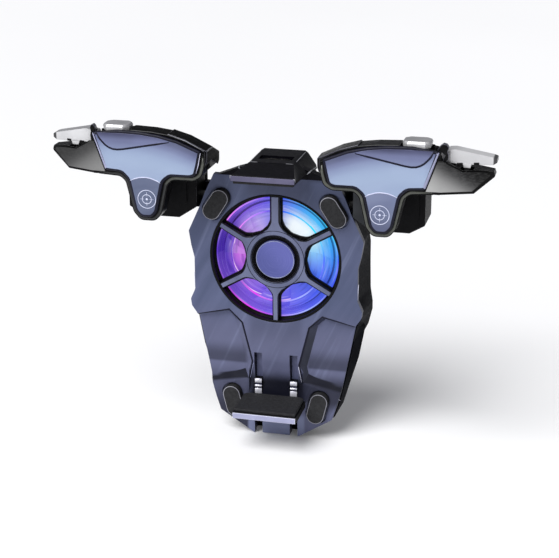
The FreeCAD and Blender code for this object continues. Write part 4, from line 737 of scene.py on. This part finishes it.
def coil(name, cx, cy, z0, z1, r, wire, turns, look, body, seg=8, per=20):
    """A round wire wound about an upright axis."""
    verts, faces = [], []
    n = turns * per
    for i in range(n + 1):
        w = 2 * math.pi * i / per
        for j in range(seg):
            v = 2 * math.pi * j / seg
            rr = r + wire * math.cos(v)
            verts.append((cx + rr * math.cos(w), cy + rr * math.sin(w), z0 + (z1 - z0) * i / n + wire * math.sin(v)))
    for i in range(n):
        for j in range(seg):
            m = (j + 1) % seg
            faces.append((i * seg + j, i * seg + m, (i + 1) * seg + m, (i + 1) * seg + j))
    faces.append(tuple(range(seg)))
    faces.append(tuple(n * seg + j for j in reversed(range(seg))))
    o = make(name, verts, faces, look, body, True)
    tidy(o)
    return o


def arc(cx, cz, r, a0, a1, n, yy):
    return [(cx + r * math.cos(math.radians(a0 + (a1 - a0) * i / n)), yy,
             cz + r * math.sin(math.radians(a0 + (a1 - a0) * i / n))) for i in range(n + 1)]


def stadium(cx, cz, length, width, deg, seg=16):
    """Closed outline of a rounded bar turned by deg."""
    u = Vector((math.cos(math.radians(deg)), math.sin(math.radians(deg))))
    v = Vector((-u.y, u.x))
    h, r = (length - width) / 2, width / 2
    pts = []
    for c, a0 in ((1, -90), (-1, 90)):
        for i in range(seg + 1):
            a = math.radians(a0 + 180 * i / seg)
            p = Vector((cx, cz)) + u * (c * h + r * math.cos(a)) + v * (r * math.sin(a))
            pts.append((p.x, p.y))
    return pts


def block(name, corners, look, edge, body, bevel=0.2):
    """A six-sided block from 8 corners (bottom four, top four), its edges broken."""
    f = [(3, 2, 1, 0), (4, 5, 6, 7), (0, 1, 5, 4), (1, 2, 6, 5), (2, 3, 7, 6), (3, 0, 4, 7)]
    o = make(name, corners, f, look, body, True, [edge])
    tidy(o)
    b = o.modifiers.new("bevel", "BEVEL")
    b.width = bevel * MM
    b.segments = 2
    b.material = 1
    return weighted(o)


# --------------------------------------------- finish of the frame's nodes --
# each node's bevel faces take the second finish; where that is lighter than the first it paints a highlight along the
# edges, and the trigger body's olive bevel is a painted reflection
FINISH = {
    "front_cover": ("slate", "guard_edge", 0.22), "rear_cover": ("rear_shell", "rear_edge", 0.3),
    "cover_screws": ("dark_steel", "steel", 0.08), "fan_frame": ("black_shell", "black_shell", 0.0),
    "fan_guard": ("slate_guard", "guard_edge", 0.2), "hub_bezel": ("black_gloss", "gloss_edge", 0.08),
    "hub_badge": ("badge", "badge", 0.12), "light_ring": ("glow_ring", "glow_ring", 0.0),
    "led_board": ("board_violet", "board_violet", 0.0), "leds": ("lamp", "lamp", 0.0),
    "fan_bearing": ("bronze", "bronze", 0.0), "stator_core": ("steel", "steel", 0.0),
    "stator_coils": ("copper", "copper", 0.0), "fan_board": ("board_green", "board_green", 0.0),
    "arm_guide": ("switch_black", "switch_black", 0.0), "upper_jaw": ("black_gloss", "gloss_edge", 0.3),
    "upper_jaw_pad": ("rubber", "rubber", 0.15), "power_socket": ("nickel", "nickel", 0.05),
    "upper_pads": ("rubber", "rubber", 0.2), "lower_pads": ("rubber", "rubber", 0.2),
    "control_board": ("board_green", "board_green", 0.0), "detent_springs": ("steel", "steel", 0.0),
    "fan_shaft": ("steel", "steel", 0.0), "rotor_magnet": ("magnet", "magnet", 0.0),
    "lower_jaw": ("black_shell", "shell_edge", 0.2), "jaw_cushion": ("rubber", "rubber", 0.2),
    "jaw_rails": ("rail", "rail", 0.0), "trigger_body": ("rim_black", "rim_edge", 0.34),
    "top_cover": ("rim_black", "shell_edge", 0.22), "side_cover": ("satin_grey", "rim_black", 0.16),
    "rear_clamp": ("clamp_shell", "shell_edge", 0.3), "clamp_pad": ("clamp_shell", "clamp_shell", 0.1),
    "clamp_screws": ("dark_steel", "steel", 0.08), "slide_arm": ("black_gloss", "gloss_edge", 0.2),
    "touch_pad": ("contact_foot", "contact_foot", 0.08), "switch_board": ("board_green", "board_green", 0.0),
    "press_switches": ("switch_black", "steel", 0.0), "trigger_lever": ("silver", "silver_edge", 0.3),
    "lever_pin": ("steel", "steel", 0.0), "lever_spring": ("steel", "steel", 0.0),
    "fire_button": ("silver", "silver_edge", 0.2), "button_spring": ("rubber", "rubber", 0.0),
}
for name, o in N.items():
    key = name.replace("_left", "").replace("_right", "")
    if key not in FINISH:
        continue
    look, edge, width = FINISH[key]
    # the left top cover takes the darker copy of the black, painted shade
    if name == "top_cover_left":
        look = "cover_dark"
    o.data.materials.clear()
    o.data.materials.append(LOOKS[look])
    o.data.materials.append(LOOKS[edge])
    o.data.polygons.foreach_set("material_index", [0] * len(o.data.polygons))
    o.data.polygons.foreach_set("use_smooth", [True] * len(o.data.polygons))
    w = o.modifiers.new("weld", "WELD")
    w.merge_threshold = 2e-6
    if width:
        b = o.modifiers.new("bevel", "BEVEL")
        b.width = width * MM
        b.segments = 2
        b.limit_method = "ANGLE"
        b.angle_limit = math.radians(38)
        b.use_clamp_overlap = True
        b.material = 1
        b.miter_outer = "MITER_ARC"
    m = o.modifiers.new("normals", "WEIGHTED_NORMAL")
    m.keep_sharp = False
    m.weight = 80

# ------------------------------------------------------------------ rotor --
verts, faces = [], []
BL, NU, NV = 9, 10, 12
for b in range(BL):
    first = len(verts)
    for u in range(NU + 1):
        r = 6.6 + (16.5 - 6.6) * u / NU
        lean = -16.0 * (u / NU) ** 1.4
        wide = 47.0 - 3.0 * u / NU
        for v in range(NV + 1):
            s = v / NV
            a = math.radians(40.0 * b + lean + (s - 0.5) * wide)
            camber = 0.5 * math.sin(math.pi * s)
            thick = 0.34 * math.sqrt(max(0.02, math.sin(math.pi * min(0.97, max(0.03, s)))))
            yy = 4.95 + 2.2 * s - camber
            for e in (-1, 1):
                verts.append((r * math.cos(a), yy + e * thick / 2, ZF + r * math.sin(a)))
    row = (NV + 1) * 2

    def q(u, v, e):
        return first + u * row + v * 2 + e
    for u in range(NU):
        for v in range(NV):
            faces.append((q(u, v, 0), q(u + 1, v, 0), q(u + 1, v + 1, 0), q(u, v + 1, 0)))
            faces.append((q(u, v, 1), q(u, v + 1, 1), q(u + 1, v + 1, 1), q(u + 1, v, 1)))
        faces.append((q(u, 0, 0), q(u, 0, 1), q(u + 1, 0, 1), q(u + 1, 0, 0)))
        faces.append((q(u, NV, 0), q(u + 1, NV, 0), q(u + 1, NV, 1), q(u, NV, 1)))
    for v in range(NV):
        faces.append((q(0, v, 0), q(0, v + 1, 0), q(0, v + 1, 1), q(0, v, 1)))
        faces.append((q(NU, v, 0), q(NU, v, 1), q(NU, v + 1, 1), q(NU, v + 1, 0)))
blades = make("rotor_blades", verts, faces, "glow_blade", "fan", True)
tidy(blades)
weighted(blades)
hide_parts("fan_rotor")
spin("rotor_tip_ring", [(16.35, 5.15), (16.45, 4.95), (16.75, 4.92), (16.85, 5.1), (16.85, 7.4), (16.75, 7.5), (16.4, 7.5), (16.35, 7.4)],
     "glow_blade", "fan")
spin("rotor_cup", [(0.78, 4.5), (5.6, 4.32), (6.5, 4.4), (6.85, 4.7), (6.9, 5.2), (6.9, 7.7), (6.8, 7.8), (6.35, 7.8), (6.32, 5.15), (0.78, 5.1)],
     "glow_blade", "fan")
spin("rotor_stiff_ring", [(14.32, 4.62), (14.4, 4.5), (14.55, 4.5), (14.63, 4.62), (14.63, 5.3), (14.32, 5.3)],
     "arc_light", "fan")

# lit lip of the light ring and its fine steps
spin("light_lip", [(18.72, 4.22), (18.8, 4.1), (19.02, 4.1), (19.1, 4.22), (19.1, 4.4), (18.72, 4.4)], "arc_light", "main")
for i, (rr, yy) in enumerate(((18.5, 4.9), (18.05, 5.9), (17.7, 6.7))):
    spin("light_step_%d" % i, [(rr - 0.04, yy - 0.16), (rr + 0.3, yy - 0.16), (rr + 0.3, yy + 0.16), (rr - 0.04, yy + 0.16)],
         "glow_ring", "main")
# dark bottom of the chamber, lit from the side, with the lamps' glow on it
spin("chamber_floor", [(16.0, 7.75), (17.4, 7.75), (17.5, 7.85), (17.4, 7.98), (16.0, 7.98)], "glow_deep", "main")

# ------------------------------------------- black band round the opening --
spin("opening_band", [(19.72, 1.86), (19.8, 1.76), (20.36, 1.76), (20.44, 1.84), (20.44, 1.95), (20.14, 2.0), (20.1, 3.4), (19.85, 3.6), (19.72, 3.4)],
     "rim_black", "main", 128)
# black pieces behind the guard that stand in for its shadow: six arms, the top one widest, and the ring that they meet
for i in range(6):
    deg = 90 + 60 * i
    hw = 1.45 if i == 0 else (0.85 if i == 3 else 0.95)
    u = Vector((math.cos(math.radians(deg)), math.sin(math.radians(deg))))
    v = Vector((-u.y, u.x))
    arm = rounded([(7.6, -4.6), (8.7, -4.3), (10.1, -2.8, 2.0), (11.9, -hw - 0.5, 3.0), (19.7, -hw - 0.5), (19.7, hw + 0.5),
                   (11.9, hw + 0.5, 3.0), (10.1, 2.8, 2.0), (8.7, 4.3), (7.6, 4.6)], 5)
    pts = [(u.x * r + v.x * t, ZF + u.y * r + v.y * t) for r, t in arm]
    plate("guard_carrier_%d" % i, pts, [(0.0, 3.45), (0.1, 3.34)], 4.15, "rim_black", "rim_black", "main")
spin("guard_carrier_ring", [(7.6, 3.42), (7.7, 3.3), (9.5, 3.3), (9.62, 3.42), (9.62, 4.15), (7.6, 4.15)], "rim_black", "main")
# fine dark lines on the guard's hub ring and a bright one round the badge
spin("hub_line_outer", [(8.95, 1.74), (9.08, 1.74), (9.12, 1.82), (8.91, 1.82)], "navy_line", "main")
spin("hub_line_inner", [(7.62, 1.74), (7.74, 1.74), (7.78, 1.82), (7.58, 1.82)], "navy_line", "main")
spin("badge_rim", [(5.72, 1.66), (5.82, 1.62), (5.92, 1.66), (5.95, 1.8), (5.7, 1.8)], "slate_edge", "main")

# --------------------------------------------------- painted shadow along the seams of the panels --
SEAM = [(24.75, -11.24), (14.7, -8.9), (10.6, -12.9), (7.45, -25.5), (8.65, -31.5)]
for side, tag in ((1, "right"), (-1, "left")):
    tube("panel_seam_" + tag, [(side * a, 1.8, b) for a, b in SEAM], 0.29, "navy_line", "main", flat=0.45)
    # painted highlights: bright corner by the panel's low inner end, at the waist and on the foot
    tube("panel_glint_" + tag, [(side * 7.2, 1.93, -26.1), (side * 8.2, 1.93, -31.2)], 0.18, "highlight" if side > 0 else "slate_edge", "main", flat=0.5)
    tube("waist_glint_" + tag, [(side * 25.55, 2.0, -2.6), (side * 25.6, 2.0, 0.6), (side * 25.75, 2.0, 2.4)], 0.13, "highlight", "main", flat=0.6)
    tube("foot_glint_" + tag, [(side * 19.2, 2.0, -35.6), (side * 20.5, 2.0, -36.1)], 0.13, "highlight", "main", flat=0.6)

# strips behind the two slots, which move with the jaw
for side, tag in ((1, "right"), (-1, "left")):
    block("jaw_track_" + tag, [(side * 5.65 - 1.1, 4.0, -31.4), (side * 5.65 + 1.1, 4.0, -31.4), (side * 5.65 + 1.1, 4.35, -31.4), (side * 5.65 - 1.1, 4.35, -31.4),
                               (side * 5.65 - 1.1, 4.0, -22.2), (side * 5.65 + 1.1, 4.0, -22.2), (side * 5.65 + 1.1, 4.35, -22.2), (side * 5.65 - 1.1, 4.35, -22.2)],
          "rail_slate", "rail_slate", "jaw", 0.08)

# --------------------------------------------------------------- the pads --
PADS = ((18.1, 24.9, 122.7), (13.45, -39.05, 76.3))
for i, (cx, cz, deg) in enumerate(PADS):
    for side, tag in ((1, "right"), (-1, "left")):
        d = deg if side > 0 else 180 - deg
        name = ("upper" if i == 0 else "lower") + "_rest_" + tag
        line = stadium(side * cx, cz, 10.3, 5.6, d)
        inner = inset(line, 0.2)
        # a thin light bead round each rest, a painted highlight
        tube(name + "_rim", [(a, 0.1, b) for a, b in inner], 0.12, "rubber_rim", "main", True, flat=0.8)

# ----------------------------------------------------------- trigger units --
FACE = [(17.85, 44.9, .6), (18.7, 41), (19.6, 37.6, 1.8), (21.4, 37, 3.5), (27.4, 37, 2.5), (29.6, 35.2, 3), (31.7, 26, 3),
        (33.2, 24.1, 2.4), (36.6, 24.1, 2.4), (38.3, 26, 3), (40.2, 35.3, 3), (42.2, 37.35, 2.5), (47.2, 37.7, 1.1), (51, 48.9, .5),
        (43.2, 49.95), (36, 49.75), (30.7, 49.1), (25, 47.8)]
CREASE = [(27.3, 47.2), (30.8, 46.5), (34.4, 45.8), (38.2, 45.05), (41.5, 44.4), (43.2, 44.2), (44.6, 44.3), (45.8, 44.75), (46.8, 45.4),
          (47.8, 46.4), (48.7, 47.5), (49.4, 49.0)]
ARC = [(30.3, 34.8), (31.2, 35.4), (32.3, 35.8), (33.4, 36.15), (34.6, 36.3), (35.8, 36.25), (36.9, 36.1), (38.2, 35.7), (39.5, 35.1)]
MARK = (34.6, 29.7)


def edge_by(nx, nz, mx, mz):
    """Painted highlight on the outer edge, navy elsewhere."""
    return "lip_lilac" if nx > 0.8 and mx > 44 else "navy_line"


def clip_low(points, zz):
    return [p for p in points if p[1] <= zz]


for side, tag in ((1, "right"), (-1, "left")):
    body = "trigger_" + tag
    loop = rounded(FACE, 7)
    o = plate("face_plate_shell_" + tag, loop, [(0.0, -13.75), (0.16, -14.0), (0.42, -14.13), (0.8, -14.18)], -13.2,
              "plate", "navy_line", body, side, edge_by)
    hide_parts("face_plate_" + tag)
    # facet above the crease
    fac = [(a, b) for a, b in CREASE] + [(43.2, 49.1), (36, 48.95), (30.7, 48.3), (27.6, 47.6)]
    fac = [(a, b) for a, b in fac if True]
    plate("face_facet_" + tag, fac, [(0.0, -14.18), (0.2, -14.215)], -14.1, "plate_facet", "plate_facet", body, side)
    tube("face_crease_" + tag, [(side * a, -14.19, b) for a, b in CREASE], 0.3, "navy_line", body, flat=0.35)
    tube("face_arc_" + tag, [(side * a, -14.2, b) for a, b in ARC], 0.15, "mark_pale", body, flat=0.4)
    # target mark: two rings and four ticks
    mx, mz = side * MARK[0], MARK[1]
    spin("mark_ring_" + tag, [(2.62, -14.2), (2.66, -14.245), (2.8, -14.245), (2.84, -14.2)], "mark_pale", body, 64, mx, mz)
    spin("mark_inner_" + tag, [(1.28, -14.2), (1.31, -14.245), (1.45, -14.245), (1.48, -14.2)], "mark_pale", body, 48, mx, mz)
    spin("mark_dot_" + tag, [(0.0, -14.2), (0.0, -14.25), (0.3, -14.25), (0.34, -14.2)], "mark_pale", body, 24, mx, mz)
    for i, (dx, dz) in enumerate(((1, 0), (0, 1), (-1, 0), (0, -1))):
        tube("mark_tick_%d_%s" % (i, tag), [(mx + dx * 0.85, -14.21, mz + dz * 0.85), (mx + dx * 2.1, -14.21, mz + dz * 2.1)], 0.12,
             "mark_pale", body, flat=0.4)

    # raised cap over the inner third of the top cover, down over its end
    cap = [(16.7, 40.9), (16.25, 42.2), (16.2, 44.85), (16.55, 45.1), (22.65, 48.0), (27.9, 49.5), (27.95, 49.15), (22.8, 47.6), (16.95, 44.55), (16.95, 40.9)]
    cap = [(side * a, b) for a, b in cap]
    verts = []
    for yy, dz in ((-13.2, -0.1), (-13.05, 0.0), (-7.2, 0.0), (-0.75, -2.9), (-0.6, -3.02)):
        verts += [(a, yy, b + dz) for a, b in cap]
    m = len(cap)
    faces = [tuple(range(m)), tuple(reversed(range(4 * m, 5 * m)))]
    for l in range(4):
        faces += [(l * m + i, l * m + (i + 1) % m, (l + 1) * m + (i + 1) % m, (l + 1) * m + i) for i in range(m)]
    # the left cap takes the darker copy of the black, painted shade
    o = make("cover_cap_" + tag, verts, faces, "rim_black" if side > 0 else "cover_dark", body, True, ["gloss_edge"])
    tidy(o)
    bv = o.modifiers.new("bevel", "BEVEL")
    bv.width = 0.16 * MM
    bv.segments = 2
    bv.limit_method = "ANGLE"
    bv.angle_limit = math.radians(38)
    bv.material = 1
    weighted(o)
    # painted highlight: a light line down the clamp block's front edge, the outer one on the right unit and the inner
    # one on the left
    lx = 45.36 if side > 0 else 24.04
    tube("clamp_line_" + tag, [(side * lx, 0.68, 24.3), (side * lx, 0.68, 34.0)], 0.11, "glint", body)
    # painted highlight along the left plate's inner end
    if side < 0:
        tube("face_inner_line_" + tag, [(-17.98, -13.95, 44.5), (-18.66, -13.95, 41.0), (-19.4, -13.95, 38.4)], 0.13, "highlight", body)
    # painted highlights: light lines along the cap's front edge and round its end
    tube("cap_line_" + tag, [(side * 17.05, -13.3, 44.98), (side * 22.6, -13.3, 47.72), (side * 27.9, -13.3, 49.3)], 0.11,
         "gloss_edge" if side > 0 else "glint", body)
    tube("cap_end_line_" + tag, [(side * 16.36, -12.7, 45.02), (side * 16.36, -7.4, 45.02)], 0.12, "glint", body)
    # olive bead along the rim's lower edge, from the inner end round the tongue to the wedge, a painted reflection
    RIM = [(16.9, 43.0), (16.95, 41), (17.9, 37.2, 2.8), (20.4, 35.75, 3.0), (26.9, 35.75, 2.4), (28.4, 34.2, 2.4), (30.4, 25.4, 3.0),
           (32.4, 22.9, 2.6), (37.1, 22.9, 2.6), (39.2, 25.4, 3.0), (41.3, 34.5, 2.4), (42.9, 35.95, 2.4), (49.2, 36.29)]
    line = rounded(RIM, 6)
    offs = []
    for i, p in enumerate(line):
        a = Vector(line[max(0, i - 1)])
        b = Vector(line[min(len(line) - 1, i + 1)])
        t = (b - a).normalized()
        nrm = Vector((-t.y, t.x))
        offs.append((side * (p[0] + nrm.x * 0.66), -13.2, p[1] + nrm.y * 0.66))
    tube("rim_bead_" + tag, offs, 0.42, "bead", body, flat=0.3)

    # black clip in front of the lever's root
    clip = [(50.02, 48.99), (50.86, 50.3, 0.4), (51.72, 50.97, 0.3), (52.68, 50.77, 0.4), (53.34, 49.91, 0.3), (52.96, 48.73), (53.35, 47.73),
            (53.18, 46.45), (52.42, 45.79), (51.64, 45.99), (52.29, 47.67), (51.63, 48.28)]
    if side < 0:
        clip = [(50.0 + (q[0] - 50.0) * 0.6, q[1], *q[2:]) for q in clip]
    plate("lever_clip_" + tag, rounded(clip, 4), [(0.0, -12.45), (0.12, -12.6)], -11.0, "rim_black", "gloss_edge", body, side)

    # coil round the short button's stem, which shortens as the button goes down
    turns = coil("button_coil_" + tag, side * 44.5, -9.2, 44.56, 49.05, 1.36, 0.21, 5, "steel", body)
    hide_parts("button_spring_" + tag)
    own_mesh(turns)

    # lever: black tabs below it, along its slanted front
    lb = "lever_" + tag
    for i, (a, b, z0, z1) in enumerate(((55.2, 56.85, 43.8, 44.95), (59.8, 61.3, 44.22, 44.95))):
        ya, yb = -10.1 + (a - 52) * 0.2667 - 0.1, -10.1 + (b - 52) * 0.2667 - 0.1
        block("lever_tab_%d_%s" % (i, tag), [(side * a, ya, z0), (side * b, yb, z0), (side * b, yb + 1.2, z0), (side * a, ya + 1.2, z0),
                                             (side * a, ya, z1), (side * b, yb, z1), (side * b, yb + 1.2, z1), (side * a, ya + 1.2, z1)],
              "rim_black", "shell_edge", lb, 0.1)

# ------------------------------------------------- painted highlights on the edges of the hood --
for side, tag in ((1, "right"), (-1, "left")):
    tube("hood_edge_" + tag, [(side * 6.75, 1.6, 39.4), (side * 6.75, 13.5, 39.4)], 0.2, "glint", "main")
    tube("hood_foot_" + tag, [(side * 9.95, 1.24, 35.85), (side * 10.87, 1.24, 36.68), (side * 11.0, 2.4, 36.76), (side * 11.06, 3.7, 36.74)], 0.19, "glint", "main")
    tube("hood_side_" + tag, [(side * 9.9, 9.8, 35.06), (side * 9.92, 13.8, 34.84)], 0.17, "glint", "main")
    tube("hood_brow_" + tag, [(side * 4.3, -1.65, 39.5), (side * 6.5, -1.65, 39.5)], 0.16, "glint", "main")
    tube("hood_corner_" + tag, [(side * 9.1, -12.62, 38.1), (side * 9.6, -12.6, 38.05), (side * 9.66, -12.5, 37.2)], 0.14, "glint", "main")

# --------------------------------------------------------- jaw front strips --
block("upper_lip_strip", [(-9.5, -12.78, 36.45), (9.5, -12.78, 36.45), (9.5, -12.5, 36.45), (-9.5, -12.5, 36.45),
                          (-9.5, -12.78, 38.0), (9.5, -12.78, 38.0), (9.5, -12.5, 38.0), (-9.5, -12.5, 38.0)], "lip_dim", "lip_dim", "main", 0.1)
block("lower_lip_strip", [(-9.8, -13.6, -38.3), (9.8, -13.6, -38.3), (9.8, -13.3, -38.3), (-9.8, -13.3, -38.3),
                          (-9.8, -13.6, -36.55), (9.8, -13.6, -36.55), (9.8, -13.3, -36.55), (-9.8, -13.3, -36.55)], "lip_lilac", "highlight", "jaw", 0.12)

# ------------------------------------------------------ floor and lighting --
me = bpy.data.meshes.new("floor")
fz = cad_lo.z - 0.0002
me.from_pydata([(-45, -45, fz), (45, -45, fz), (45, 45, fz), (-45, 45, fz)], [], [(0, 1, 2, 3)])
floor = bpy.data.objects.new("floor", me)
scene.collection.objects.link(floor)
fl = Look("floor_pale", roughness=0.75, specular=0.2)
fl.base(fl.mix(fl.step(fl.noise(1.4, 3), 0.3, 0.7), col(248, 248, 249), col(252, 252, 253)))
fl.emit(col(255, 255, 255), 0.05)
floor.data.materials.append(fl.mat)

world = bpy.data.worlds.new("studio")
world.use_nodes = True
world.node_tree.nodes["Background"].inputs[0].default_value = (0.93, 0.94, 1.0, 1)
world.node_tree.nodes["Background"].inputs[1].default_value = 0.22
scene.world = world


def softbox(name, place, aim, size, power, tint=(1, 1, 1)):
    d = bpy.data.lights.new(name, "AREA")
    d.shape = "RECTANGLE"
    d.size, d.size_y = size
    d.energy = power
    d.color = tint
    o = bpy.data.objects.new(name, d)
    scene.collection.objects.link(o)
    o.location = place
    o.rotation_euler = (Vector(aim) - Vector(place)).to_track_quat("-Z", "Y").to_euler()
    return o


softbox("key", (-0.5, -0.95, 0.7), (0, 0, 0), (0.7, 0.5), 2.5)
softbox("fill", (0.9, -0.8, 0.35), (0, 0, 0), (0.6, 0.6), 1.5)
d = bpy.data.lights.new("overhead", "SUN")
d.energy = 2.95
d.angle = math.radians(38)
sun = bpy.data.objects.new("overhead", d)
scene.collection.objects.link(sun)
sun.rotation_euler = Vector((0.3, 0.65, -0.96)).to_track_quat("-Z", "Y").to_euler()
